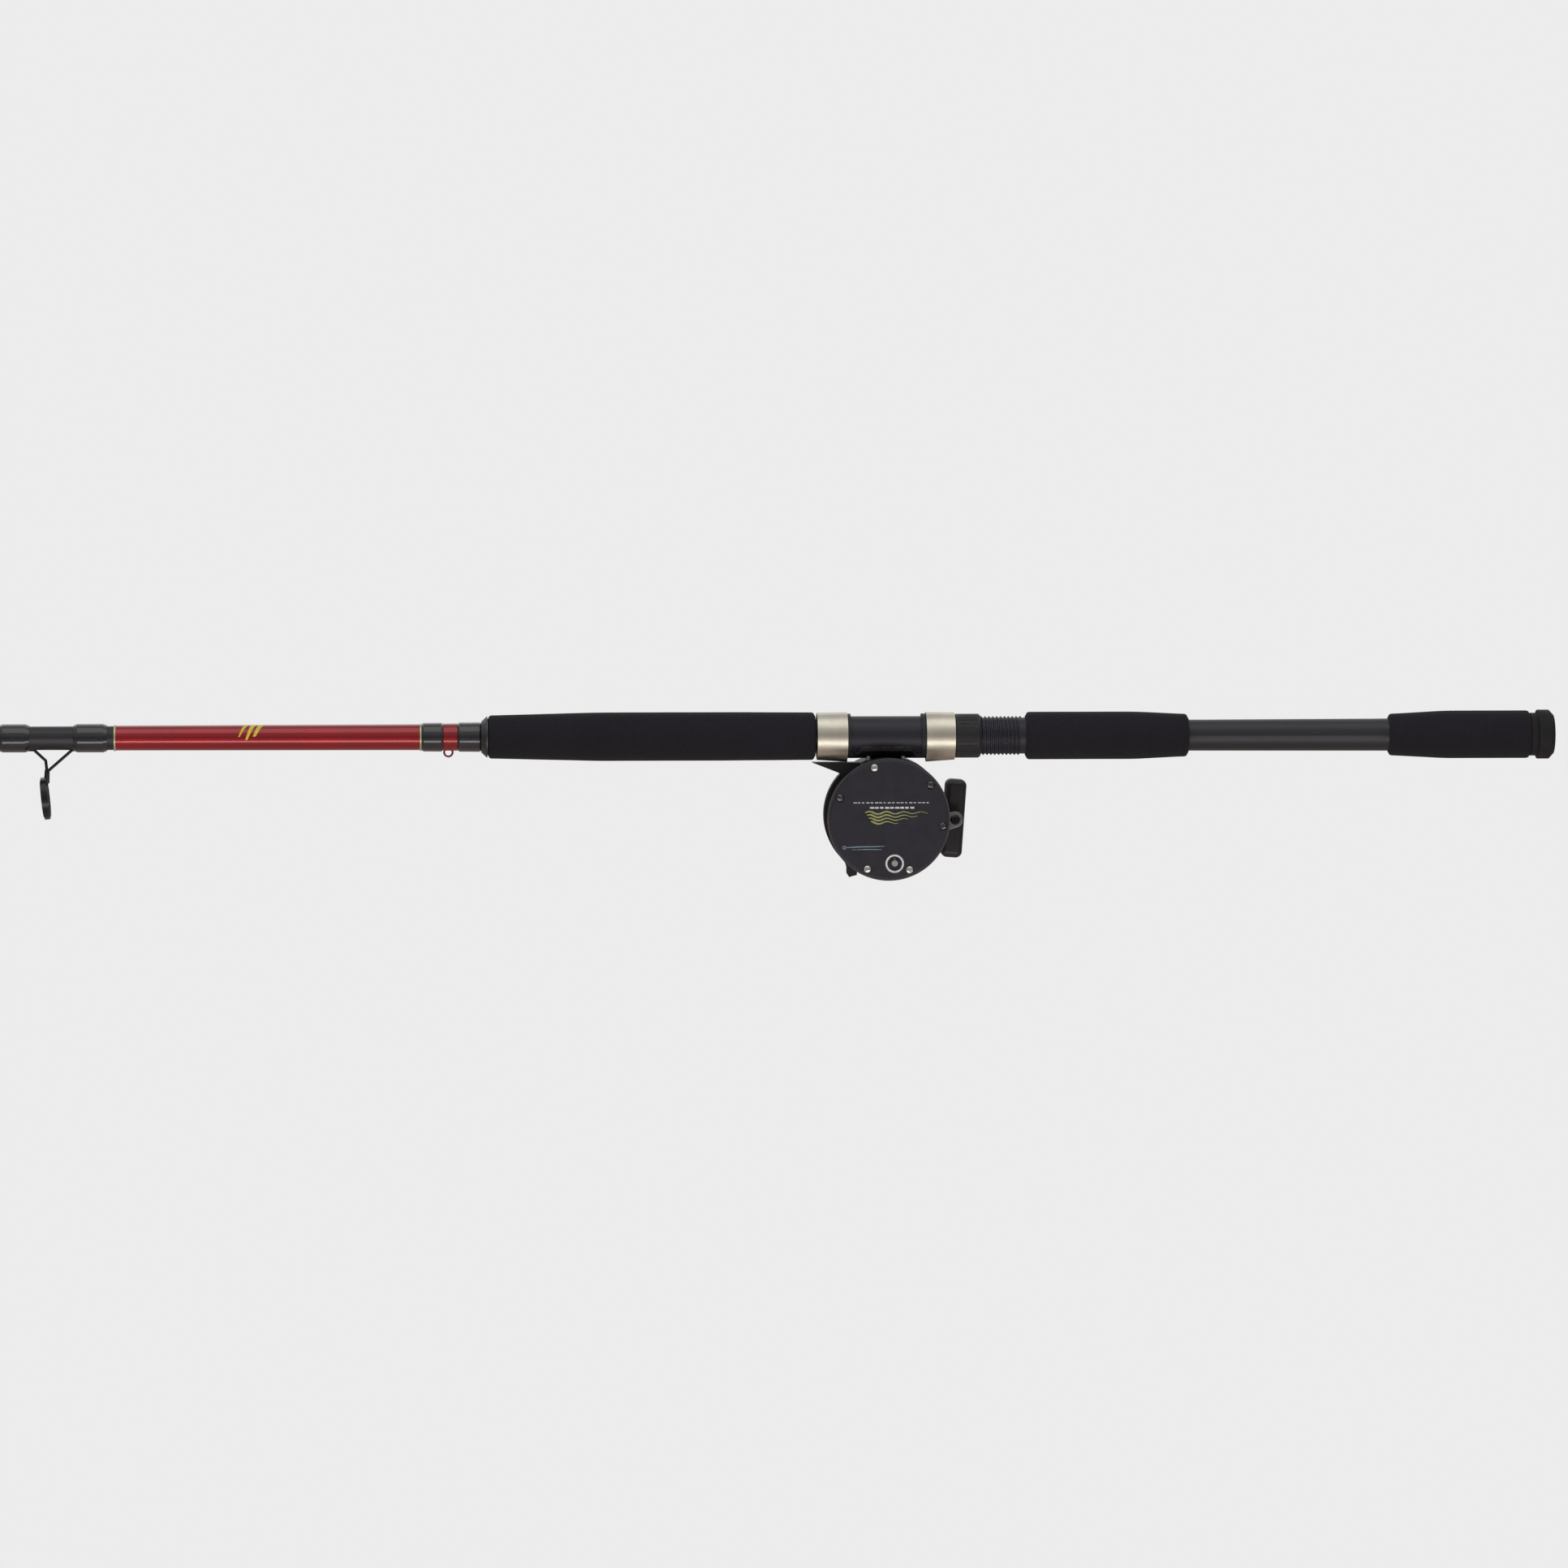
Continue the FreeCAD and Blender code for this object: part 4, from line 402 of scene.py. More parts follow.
# ------------------------------------------------------------------ finishes of the record's slots
def foam_finish(rod):
    made = Finish("Foam", Specular_IOR_Level=0.12, Sheen_Weight=0.03, Sheen_Roughness=0.6)
    cells = made.use(foam_cells, Cell=rod.cell)
    tone = made.tone(35.0)
    ground = made.shades(tone, rod.foam, 0.86, 1.12)
    dusty = made.use(settled_dust, Scale=500.0)["Mask"]
    ground = made.part(dusty, 0.10, ground, screen(96, 92, 92))
    # Deep cell pits are mixed towards a darker foam: painted shade in the pits.
    made.colour(made.part(cells["Depth"], 0.5, ground, lighter(rod.foam, 0.45)))
    made.roughness(tone, 0.86, 0.96).bump(cells["Height"], 0.10, 0.8)
    return made.material


def rubber_finish(rod):
    made = Finish("Rubber", Specular_IOR_Level=0.22)
    tone = made.tone(90.0, 0.4)
    worn = made.wear(0.6, 500.0)
    base = made.shades(tone, rod.rubber, 0.8, 1.15)
    made.colour(made.part(worn, 0.5, base, screen(62, 60, 60)))
    made.roughness(tone, 0.62, 0.78).bump(made.grain(0.5), 0.06, 0.6)
    return made.material


def blank_finish(rod):
    made = Finish("Painted blank", Specular_IOR_Level=0.4, Coat_Weight=0.12, Coat_Roughness=0.3)
    rings = made.use(turned_marks, Pitch=0.0016)["Height"]
    tone = made.tone(18.0, 0.6)
    base = made.shades(tone, rod.blank, 0.85, 1.15)
    scratched = made.scratches(70.0)
    made.colour(made.part(scratched, 0.08, base, screen(120, 120, 124)))
    made.roughness(rings, 0.42, 0.56).bump(rings, 0.012, 0.5)
    return made.material


def lacquer_finish(rod):
    made = Finish("Red lacquer", Specular_IOR_Level=0.2, Coat_Weight=0.8, Coat_Roughness=0.10)
    flakes = made.grain(0.16)
    tone = made.tone(22.0, 0.6)
    base = made.shades(tone, rod.lacquer, 0.72, 1.08)
    bright = span(made.tree, flakes, 0.56, 0.72)
    made.colour(made.part(bright, 0.16, base, screen(226, 44, 60)))
    made.metallic(tone, 0.42, 0.56).roughness(flakes, 0.30, 0.44).bump(flakes, 0.008, 0.4)
    return made.material


def wrap_finish(rod):
    made = Finish("Thread wrap", Specular_IOR_Level=0.3, Coat_Weight=0.9, Coat_Roughness=0.07)
    turns = made.use(thread_turns, Strand=rod.strand)
    pooled = made.tone(55.0)
    base = made.shades(turns["Tone"], rod.thread, 0.7, 1.7)
    made.colour(made.part(pooled, 0.25, base, screen(34, 34, 42)))
    made.roughness(turns["Tone"], 0.28, 0.46).bump(turns["Height"], 0.09, 0.6)
    return made.material


def trim_finish(rod):
    made = Finish("Trim thread", Coat_Weight=1.0, Coat_Roughness=0.08)
    turns = made.use(thread_turns, Strand=rod.strand)
    made.colour(made.shades(turns["Tone"], rod.trim, 0.72, 1.15))
    made.metallic(turns["Tone"], 0.35, 0.6).roughness(turns["Tone"], 0.25, 0.4)
    made.bump(turns["Height"], 0.08, 0.6)
    return made.material


def hood_finish(rod):
    made = Finish("Brushed hood", Metallic=1.0)
    brush = made.use(turned_marks, Pitch=0.00022)["Height"]
    tone = made.tone(120.0)
    worn = made.wear(0.5, 350.0)
    scratched = made.scratches(160.0)
    base = made.shades(tone, rod.hood, 0.82)
    base = made.part(brush, 0.30, base, lighter(rod.hood, 0.6))
    base = made.part(scratched, 0.25, base, lighter(rod.hood, 0.5))
    made.colour(made.part(worn, 0.5, base, screen(240, 236, 228)))
    made.roughness(brush, 0.32, 0.48).bump(brush, 0.010, 0.5)
    return made.material


def barrel_finish(rod):
    made = Finish("Seat barrel", Specular_IOR_Level=0.4)
    marks = made.use(turned_marks, Pitch=0.0007)["Height"]
    tone = made.tone(80.0)
    worn = made.wear(0.4, 600.0)
    base = made.shades(tone, rod.barrel, 0.72)
    made.colour(made.part(worn, 0.45, base, screen(104, 102, 108)))
    made.roughness(marks, 0.42, 0.58).bump(marks, 0.015, 0.5)
    return made.material


def moulded_finish(name, colour, grain=0.45, low=0.42, high=0.58, worn_to=(92, 90, 94)):
    """Moulded plastic or powder coat: grain, rubbed edges and handling marks."""
    made = Finish(name, Specular_IOR_Level=0.35)
    tone = made.tone(110.0)
    worn = made.wear(0.45, 520.0)
    scratched = made.scratches(140.0)
    base = made.shades(tone, colour, 0.84, 1.14)
    base = made.part(scratched, 0.10, base, screen(*worn_to))
    made.colour(made.part(worn, 0.5, base, screen(*worn_to)))
    made.roughness(tone, low, high).bump(made.grain(grain), 0.03, 0.5)
    return made.material


def metal_finish(name, colour, low=0.2, high=0.4, dull=0.55):
    """Bare or plated metal: uneven polish, hairlines and brighter edges."""
    made = Finish(name, Metallic=1.0)
    tone = made.tone(240.0)
    worn = made.wear(0.3, 700.0)
    scratched = made.scratches(220.0)
    base = made.shades(tone, colour, 0.8)
    base = made.part(scratched, 0.35, base, lighter(colour, dull))
    made.colour(made.part(worn, 0.4, base, lighter(colour, 1.3)))
    made.roughness(tone, low, high).bump(made.grain(0.3), 0.01, 0.3)
    return made.material


def screw_finish(reel):
    """Blackened steel, worn bright by as much as each screw's own attribute says."""
    made = Finish("Screw steel", Metallic=1.0)
    cloud = made.tone(900.0)
    rubbed = made.wear(0.3, 900.0)
    bare = put(made.tree, "ShaderNodeAttribute", {"attribute_name": "worn"}).outputs["Fac"]
    uneven = calc(made.tree, "MULTIPLY", calc(made.tree, "SUBTRACT", cloud, 0.5), 0.3)
    patchy = span(made.tree, calc(made.tree, "ADD", bare, uneven), 0.2, 0.8)
    shown = calc(made.tree, "MAXIMUM", patchy, calc(made.tree, "MULTIPLY", rubbed, 0.6))
    made.colour(made.mix(shown, screen(44, 43, 46), reel.screw))
    made.roughness(cloud, 0.24, 0.40).bump(made.grain(0.3), 0.01, 0.3)
    return made.material


def drag_finish():
    made = Finish("Drag fibre", Specular_IOR_Level=0.3)
    tone = made.tone(900.0, 0.3)
    made.colour(made.mix(tone, screen(52, 44, 36), screen(92, 78, 60)))
    made.roughness(tone, 0.75, 0.92).bump(made.grain(0.3), 0.06, 0.8)
    return made.material


def ink_finish(name, colour):
    """Pad-printed ink: slightly uneven cover."""
    made = Finish(name, Specular_IOR_Level=0.4)
    tone = made.tone(900.0, 0.35)
    made.colour(made.shades(tone, colour, 0.62))
    made.roughness(tone, 0.4, 0.6).bump(made.grain(0.2), 0.01, 0.5)
    return made.material


def slot_finish(slot, rod, reel):
    """The finish that one of the record's slots is made in."""
    own = {
        "black_rubber": lambda: rubber_finish(rod),
        "eva_foam": lambda: foam_finish(rod),
        "black_blank": lambda: blank_finish(rod),
        "red_lacquer": lambda: lacquer_finish(rod),
        "black_wrap": lambda: wrap_finish(rod),
        "pale_gold": lambda: trim_finish(rod),
        "champagne_metal": lambda: hood_finish(rod),
        "dark_seat": lambda: barrel_finish(rod),
        "screw_steel": lambda: screw_finish(reel),
        "drag_fibre": drag_finish,
    }
    moulded = {
        "black_plastic": ("Black plastic", screen(27, 26, 30)),
        "guide_black": ("Guide enamel", screen(20, 20, 21), 0.3, 0.22, 0.36),
        "guide_ceramic": ("Guide ceramic", screen(38, 38, 41), 0.2, 0.10, 0.18),
        "frame_black": ("Frame enamel", reel.frame, 0.35, 0.30, 0.46),
        "plate_charcoal": ("Side plate", reel.plate, 0.30, 0.36, 0.50),
        "knob_black": ("Knob", reel.knob, 0.5, 0.34, 0.48),
    }
    metal = {
        "stainless": ("Stainless", screen(196, 194, 192), 0.22, 0.36),
        "check_grey": ("Winding check", screen(92, 90, 94), 0.36, 0.52),
        "rim_chrome": ("Rim chrome", reel.rim, 0.10, 0.22),
        "spool_alloy": ("Spool alloy", reel.spool, 0.20, 0.34),
        "gear_brass": ("Gear brass", screen(206, 170, 98), 0.24, 0.4),
        "bright_steel": ("Bright steel", screen(190, 191, 194), 0.16, 0.3),
        "crank_dark": ("Crank arm", screen(126, 124, 128), 0.34, 0.46, 0.7),
        "button_silver": ("Click button", screen(214, 214, 216), 0.2, 0.34),
    }
    if slot in own:
        return own[slot]()
    return moulded_finish(*moulded[slot]) if slot in moulded else metal_finish(*metal[slot])


FINISHES = {}


def finish(slot):
    """The material of one of the record's slots, made once."""
    if slot not in FINISHES:
        scene = bpy.context.scene
        FINISHES[slot] = slot_finish(slot, scene.rod_settings, scene.reel_settings)
    return FINISHES[slot]


def slot_of(node):
    """The record's slot that a CAD node carries."""
    return frame["nodes"][node].data.materials[0].name.split(".")[0]


SLOTS = {node: slot_of(node) for node in frame["nodes"]}


def coat(node, material):
    """Gives a CAD node a material."""
    frame["nodes"][node].material_slots[0].material = material


def dress(*nodes):
    """Gives CAD nodes the finishes of their slots."""
    for node in nodes:
        coat(node, finish(SLOTS[node]))


# ------------------------------------------------------------------ shaping
def mesh_of(name, bm):
    """A mesh made of a bmesh, which is freed."""
    mesh = bpy.data.meshes.new(name)
    bm.to_mesh(mesh)
    bm.free()
    return mesh


def add(name, data):
    """A new object in the scene."""
    added = bpy.data.objects.new(name, data)
    bpy.context.scene.collection.objects.link(added)
    return added


def add_smooth(name, mesh, material, sharp):
    """A mesh in the scene with its material, smooth but for sharp corners."""
    mesh.materials.clear()
    mesh.materials.append(material)
    mesh.shade_smooth()
    mesh.set_sharp_from_angle(angle=math.radians(sharp))
    return add(name, mesh)


def settle(name, bm, material, body, stands_for=(), sharp=35):
    """Makes a finished piece of a bmesh, normals out, on its body."""
    bmesh.ops.remove_doubles(bm, verts=bm.verts, dist=1e-7)
    bmesh.ops.recalc_face_normals(bm, faces=bm.faces)
    return place_piece(name, mesh_of(name, bm), material, body, stands_for, sharp)


def place_piece(name, mesh, material, body, stands_for=(), sharp=35):
    """Puts a mesh in the scene as a piece that rides on a body and may stand for CAD nodes."""
    piece = add_smooth(name, mesh, material, sharp)
    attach(piece, body)
    if stands_for:
        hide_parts(*stands_for)
    return piece


def turned(outline, sides, wander):
    """A solid turned about the rod's line from a closed (along, radius) outline, wandering a little."""
    bm = bmesh.new()
    rings = []
    for side in range(sides):
        angle = math.tau * side / sides
        ring = []
        for along, radius in outline:
            reach = radius + wander(along, angle)
            ring.append(bm.verts.new((along, reach * math.cos(angle), reach * math.sin(angle))))
        rings.append(ring)
    for ring, after in zip(rings, rings[1:] + rings[:1]):
        for index in range(len(outline)):
            follow = (index + 1) % len(outline)
            bm.faces.new((ring[index], ring[follow], after[follow], after[index]))
    return bm


def outer_profile(node):
    """(along, radius) of a turned CAD node's outside, by the corners that face away from the rod's line."""
    widest = {}
    for vertex in frame["nodes"][node].data.vertices:
        away = Vector((0, vertex.co.y, vertex.co.z))
        if vertex.normal.dot(away.normalized()) < 0.3:
            continue
        along = round(vertex.co.x, 5)
        widest[along] = max(widest.get(along, 0), away.length)
    return sorted(widest.items())


def radius_on(profile, along):
    """The radius a profile has at a place along the rod."""
    for (start, first), (end, last) in zip(profile, profile[1:]):
        if start <= along <= end:
            return first + (last - first) * (along - start) / max(end - start, 1e-9)
    return profile[0][1] if along < profile[0][0] else profile[-1][1]


def bore_at(node, along):
    """The radius of a CAD node's bore at one of its ends."""
    near = [v.co for v in frame["nodes"][node].data.vertices if abs(v.co.x - along) < 0.1 * MM]
    return min(math.hypot(co.y, co.z) for co in near)


# ------------------------------------------------------------------ rod
GRIPS = ("butt_grip", "rear_grip", "foregrip")
GRIP_STEP = 1.25 * MM
GRIP_SIDES = 112
GRIP_SOFTENING = 6 * MM
GRIP_ROLL = 2.6 * MM
GRIP_CORNER = 2.2 * MM
GRIP_WANDER = 0.10 * MM


class ROD_OT_grips(bpy.types.Operator):
    """Ground foam grips, soft at their ends and never quite straight"""

    bl_idname = "rod.grips"
    bl_label = "Foam Grips"

    def execute(self, context):
        for node in GRIPS:
            self.make_grip(node)
        return {"FINISHED"}

    def make_grip(self, node):
        low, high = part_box(node)
        profile = outer_profile(node)
        count = round((high.x - low.x) / GRIP_STEP)
        outer = []
        for index in range(count + 1):
            along = low.x + (high.x - low.x) * index / count
            outer.append((along, self.softened(profile, along, low.x, high.x)))
        inner = [(high.x, bore_at(node, high.x)), (low.x, bore_at(node, low.x))]

        def wander(along, angle):
            spot = Vector((along * 45, 0.9 * math.cos(angle), 0.9 * math.sin(angle)))
            return -GRIP_WANDER * (0.5 + 0.5 * noise.noise(spot))

        piece = settle(
            node + "_foam", turned(outer + inner, GRIP_SIDES, wander), finish("eva_foam"),
            body="rod", stands_for=(node,), sharp=50,
        )

    def softened(self, profile, along, start, end):
        """The profile's radius, eased over its corners and rolled in at both ends."""
        spread = []
        for place in range(-4, 5):
            near = along + GRIP_SOFTENING * place / 4
            spread.append(radius_on(profile, min(max(near, start + GRIP_CORNER), end - GRIP_CORNER)))
        radius = sum(spread) / len(spread)
        gap = min(along - start, end - along)
        if gap < GRIP_ROLL:
            radius -= GRIP_ROLL - math.sqrt(max(GRIP_ROLL ** 2 - (GRIP_ROLL - gap) ** 2, 0))
        return radius


class ROD_OT_butt_cap(bpy.types.Operator):
    """Rubber butt cap"""

    bl_idname = "rod.butt_cap"
    bl_label = "Butt Cap"

    def execute(self, context):
        dress("butt_cap")
        return {"FINISHED"}


class ROD_OT_blanks(bpy.types.Operator):
    """Both sections of the painted blank"""

    bl_idname = "rod.blanks"
    bl_label = "Blanks"

    def execute(self, context):
        dress("butt_blank", "tip_blank", "winding_check", "seat_bushings")
        return {"FINISHED"}


class ROD_OT_wraps(bpy.types.Operator):
    """Thread wraps under varnish, the trim bands and the hook keeper"""

    bl_idname = "rod.wraps"
    bl_label = "Thread Wraps"

    def execute(self, context):
        dress("foregrip_wraps", "stripper_wraps", "tip_wraps", "trim_rings")
        coat("hook_keeper", metal_finish("Hook keeper", screen(150, 62, 74), 0.3, 0.44))
        return {"FINISHED"}


MARKS = ((0.00, 0.24, 92, 8), (0.24, 0.46, 92, -8), (0.46, 0.66, 92, 6))
MARK_STEPS = 8
MARK_LEAN = 0.30
MARK_LIFT = 0.06 * MM
KEEPER_BAND_END = -0.73


class ROD_OT_sleeve(bpy.types.Operator):
    """Lacquered sleeve with its slanted accent marks"""

    bl_idname = "rod.sleeve"
    bl_label = "Red Sleeve"

    def execute(self, context):
        rod = context.scene.rod_settings
        dress("red_trim")
        profile = [(along, radius) for along, radius in outer_profile("red_trim") if along < KEEPER_BAND_END]
        bm = bmesh.new()
        for start, end, top, bottom in MARKS:
            self.slanted_mark(bm, rod, profile, start, end, math.radians(top), math.radians(bottom))
        settle(
            "sleeve_accent", bm, ink_finish("Accent ink", rod.accent),
            body="rod", sharp=60,
        )
        return {"FINISHED"}

    def slanted_mark(self, bm, rod, profile, start, end, top, bottom):
        """One slanted bar, laid on the sleeve as a thin curved tile."""
        layers = []
        for lift in (0.0, MARK_LIFT):
            rows = []
            for row in range(MARK_STEPS + 1):
                share = row / MARK_STEPS
                angle = top + (bottom - top) * share
                lean = MARK_LEAN * share
                left = -rod.accent_start - rod.accent_length * (end + lean - 0.10 * share)
                right = -rod.accent_start - rod.accent_length * (start + lean + 0.06)
                rows.append([self.on_sleeve(bm, profile, along, angle, lift) for along in (left, right)])
            layers.append(rows)
        under, over = layers
        for row in range(MARK_STEPS):
            for rows in (under, over):
                bm.faces.new((rows[row][0], rows[row][1], rows[row + 1][1], rows[row + 1][0]))
            for side in (0, 1):
                bm.faces.new((under[row][side], over[row][side], over[row + 1][side], under[row + 1][side]))
        for row in (0, MARK_STEPS):
            bm.faces.new((under[row][0], over[row][0], over[row][1], under[row][1]))

    def on_sleeve(self, bm, profile, along, angle, lift):
        """A point on the sleeve, angle up from level on the near side."""
        reach = radius_on(profile, along) + lift
        return bm.verts.new((along, -reach * math.cos(angle), reach * math.sin(angle)))


class ROD_OT_seat(bpy.types.Operator):
    """Reel seat: barrel, hoods, liners and lock nut"""

    bl_idname = "rod.seat"
    bl_label = "Reel Seat"

    def execute(self, context):
        dress(
            "seat_barrel", "fixed_hood", "fixed_hood_liner",
            "moving_hood", "moving_hood_liner", "lock_nut",
        )
        return {"FINISHED"}


class ROD_OT_guides(bpy.types.Operator):
    """Line guides and the tip-top"""

    bl_idname = "rod.guides"
    bl_label = "Guides"

    def execute(self, context):
        dress(*[f"guide_{number}_frame" for number in range(1, 6)])
        dress("guide_1_ring", "tip_guide_rings", "tip_top")
        return {"FINISHED"}


# ------------------------------------------------------------------ reel
def triple(tree, x=0.0, y=0.0, z=0.0):
    """A vector of three values or sockets."""
    return put(tree, "ShaderNodeCombineXYZ", None, i0=x, i1=y, i2=z).outputs[0]


def placed(tree, shape, **change):
    """A shape moved or scaled."""
    return put(tree, "GeometryNodeTransform", None, Geometry=shape.outputs[0], **change)


def screw_tree():
    """Domed screws with a slot and a shank, one on each point, facing the way its own vector does."""
    tree = bpy.data.node_groups.new("Slotted screws", "GeometryNodeTree")
    tree.interface.new_socket(name="Points", in_out="INPUT", socket_type="NodeSocketGeometry")
    for name in ("Head radius", "Head height", "Slot width", "Slot depth", "Shank radius", "Shank length"):
        tree.interface.new_socket(name=name, in_out="INPUT", socket_type="NodeSocketFloat")
    tree.interface.new_socket(name="Finish", in_out="INPUT", socket_type="NodeSocketMaterial")
    tree.interface.new_socket(name="Screws", in_out="OUTPUT", socket_type="NodeSocketGeometry")
    given = tree.nodes.new("NodeGroupInput").outputs
    radius, height, length = given["Head radius"], given["Head height"], given["Shank length"]
    ball = put(tree, "GeometryNodeMeshUVSphere", None, Segments=40, Rings=20, Radius=1.0)
    dome = placed(tree, ball, Scale=triple(tree, radius, radius, height))
    stem = given["Shank radius"]
    shank = put(tree, "GeometryNodeMeshCylinder", None, Vertices=32, Radius=stem, Depth=length)
    hung = placed(tree, shank, Translation=triple(tree, z=calc(tree, "MULTIPLY", length, -0.5)))
    body = put(tree, "GeometryNodeMeshBoolean", {"operation": "UNION", "solver": "EXACT"})
    tree.links.new(dome.outputs[0], body.inputs[1])
    tree.links.new(hung.outputs[0], body.inputs[1])
    across = calc(tree, "MULTIPLY", radius, 2.4)
    deep = calc(tree, "MULTIPLY", given["Slot depth"], 2.0)
    bar = put(tree, "GeometryNodeMeshCube", None, Size=triple(tree, across, given["Slot width"], deep))
    raised = placed(tree, bar, Translation=triple(tree, z=height))
    cut = put(tree, "GeometryNodeMeshBoolean", {"operation": "DIFFERENCE", "solver": "EXACT"})
    tree.links.new(body.outputs[0], cut.inputs[0])
    tree.links.new(raised.outputs[0], cut.inputs[1])
    facing = put(tree, "GeometryNodeInputNamedAttribute", {"data_type": "FLOAT_VECTOR"}, Name="facing")
    grade = put(tree, "GeometryNodeInputNamedAttribute", {"data_type": "FLOAT"}, Name="grade")
    aligned = put(tree, "FunctionNodeAlignRotationToVector", {"axis": "Z"}, Vector=facing.outputs[0])
    spin = put(tree, "FunctionNodeRandomValue", {"data_type": "FLOAT"}, i2=0.0, i3=math.pi, Seed=4)
    about = triple(tree, z=spin.outputs[1])
    turn = put(tree, "FunctionNodeRotateRotation", {"rotation_space": "LOCAL"}, i0=aligned.outputs[0])
    tree.links.new(about, turn.inputs[1])
    spread = put(
        tree, "GeometryNodeInstanceOnPoints", None, Points=given["Points"], Instance=cut.outputs[0],
        Rotation=turn.outputs[0],
    )
    tree.links.new(grade.outputs[0], spread.inputs["Scale"])
    real = put(tree, "GeometryNodeRealizeInstances", None, Geometry=spread.outputs[0])
    coated = put(tree, "GeometryNodeSetMaterial", None, Geometry=real.outputs[0], Material=given["Finish"])
    put(tree, "NodeGroupOutput", None, i0=coated.outputs[0])
    return tree


def grown(tree, points, values):
    """The plain mesh a Geometry Nodes tree makes of a mesh of points, with its named inputs set."""
    carrier = add("carrier", points)
    modifier = carrier.modifiers.new("Repeat", "NODES")
    modifier.node_group = tree
    for item in tree.interface.items_tree:
        if item.in_out == "INPUT" and item.name in values:
            modifier[item.identifier] = values[item.name]
    mesh = bpy.data.meshes.new_from_object(carrier.evaluated_get(bpy.context.evaluated_depsgraph_get()))
    bpy.data.objects.remove(carrier)
    bpy.data.meshes.remove(points)
    return mesh


CAD_HEAD = 2.5 * MM
HEAD_SUNK = 0.85 * MM
SHANK_RADIUS = 1.4 * MM
SHANK_LENGTH = 6.2 * MM
SCREW_SPREAD = 6 * MM
MID_REEL = 4 * MM
SCREW_COUNT = 12
# How worn the plate's screws are, one value to each part of the way round.
WORN = (0.3, 1.0, 0.3, 0.6, 0.9, 0.3)


class REEL_OT_screws(bpy.types.Operator):
    """Domed slotted screws of both side plates"""

    bl_idname = "reel.screws"
    bl_label = "Screws"

    def execute(self, context):
        reel = context.scene.reel_settings
        found = self.screw_spots()
        if len(found) != SCREW_COUNT:
            raise RuntimeError("the frame's screws could not be told apart")
        points = bpy.data.meshes.new("screw_points")
        points.from_pydata([screw[0] for screw in found], [], [])
        for name, kind in (("facing", "FLOAT_VECTOR"), ("grade", "FLOAT"), ("worn", "FLOAT")):
            points.attributes.new(name, kind, "POINT")
        for index, (spot, direction, size) in enumerate(found):
            points.attributes["facing"].data[index].vector = direction
            points.attributes["grade"].data[index].value = size
            points.attributes["worn"].data[index].value = self.wear_of(spot)
        mesh = grown(screw_tree(), points, {
            "Head radius": reel.head_radius,
            "Head height": reel.head_height,
            "Slot width": reel.slot_width,
            "Slot depth": reel.slot_depth,
            "Shank radius": SHANK_RADIUS,
            "Shank length": SHANK_LENGTH,
            "Finish": finish("screw_steel"),
        })
        place_piece("screws", mesh, finish("screw_steel"), "rod", ("reel_screws",), sharp=30)
        return {"FINISHED"}

    def screw_spots(self):
        """Where each CAD screw's head lies, which way it faces and its size against the plate screws'."""
        groups = []
        for vertex in frame["nodes"]["reel_screws"].data.vertices:
            near = next((g for g in groups if self.together(g[0], vertex.co)), None)
            if near:
                near.append(vertex.co.copy())
            else:
                groups.append([vertex.co.copy()])
        found = []
        for group in groups:
            low = [min(co[axis] for co in group) for axis in range(3)]
            high = [max(co[axis] for co in group) for axis in range(3)]
            near_side = low[1] < 0
            top = low[1] if near_side else high[1]
            direction = (0, -1, 0) if near_side else (0, 1, 0)
            size = (high[0] - low[0]) / 2 / CAD_HEAD
            sunk = top - direction[1] * HEAD_SUNK * size
            found.append((((low[0] + high[0]) / 2, sunk, (low[2] + high[2]) / 2), direction, size))
        return found

    def wear_of(self, spot):
        """How much of a screw's blackening has worn off, by its place round the plate."""
        low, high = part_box("left_plate")
        angle = math.atan2(spot[2] - (low.z + high.z) / 2, spot[0] - (low.x + high.x) / 2) % math.tau
        return WORN[int(angle / math.tau * len(WORN))]

    def together(self, first, second):
        """True for two corners of one screw."""
        same_side = (first.y < MID_REEL) == (second.y < MID_REEL)
        return same_side and math.hypot(first.x - second.x, first.z - second.z) < SCREW_SPREAD


class REEL_OT_side_plate(bpy.types.Operator):
    """Near side plate, its rim and the click button"""

    bl_idname = "reel.side_plate"
    bl_label = "Side Plate"

    def execute(self, context):
        dress("left_plate", "rim_ring", "click_button", "click_pawl", "click_gear")
        return {"FINISHED"}


class REEL_OT_frame(bpy.types.Operator):
    """Frame, foot, gear cover and bearings"""

    bl_idname = "reel.frame"
    bl_label = "Frame"

    def execute(self, context):
        reel = context.scene.reel_settings
        dress("reel_frame", "foot_rivets", "gear_cover", "left_bearing", "right_bearing")
        coat("reel_foot", moulded_finish("Foot enamel", reel.frame, 0.35, 0.34, 0.5, (150, 146, 144)))
        return {"FINISHED"}


class REEL_OT_spool(bpy.types.Operator):
    """Spool and its shaft"""

    bl_idname = "reel.spool"
    bl_label = "Spool"

    def execute(self, context):
        dress("spool", "spool_shaft")
        return {"FINISHED"}


class REEL_OT_works(bpy.types.Operator):
    """Gears, drag stack, free-spool works and anti-reverse"""

    bl_idname = "reel.works"
    bl_label = "Works"

    def execute(self, context):
        self.make_springs()
        dress("gear_bridge", "yoke", "pinion", "main_gear", "ratchet_wheel", "anti_reverse_dog")
        dress("drive_sleeve", "drag_washers", "drag_plates", "drag_spacer", "freespool_cam")
        return {"FINISHED"}

    def make_springs(self):
        """The yoke's springs, merged into one smooth mesh in place of the hidden CAD node."""
        bm = bmesh.new()
        bm.from_mesh(frame["nodes"]["yoke_springs"].data)
        bmesh.ops.remove_doubles(bm, verts=bm.verts, dist=1e-6)
        springs = add_smooth("springs", mesh_of("springs", bm), finish(SLOTS["yoke_springs"]), 60)
        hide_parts("yoke_springs")
        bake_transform(springs)


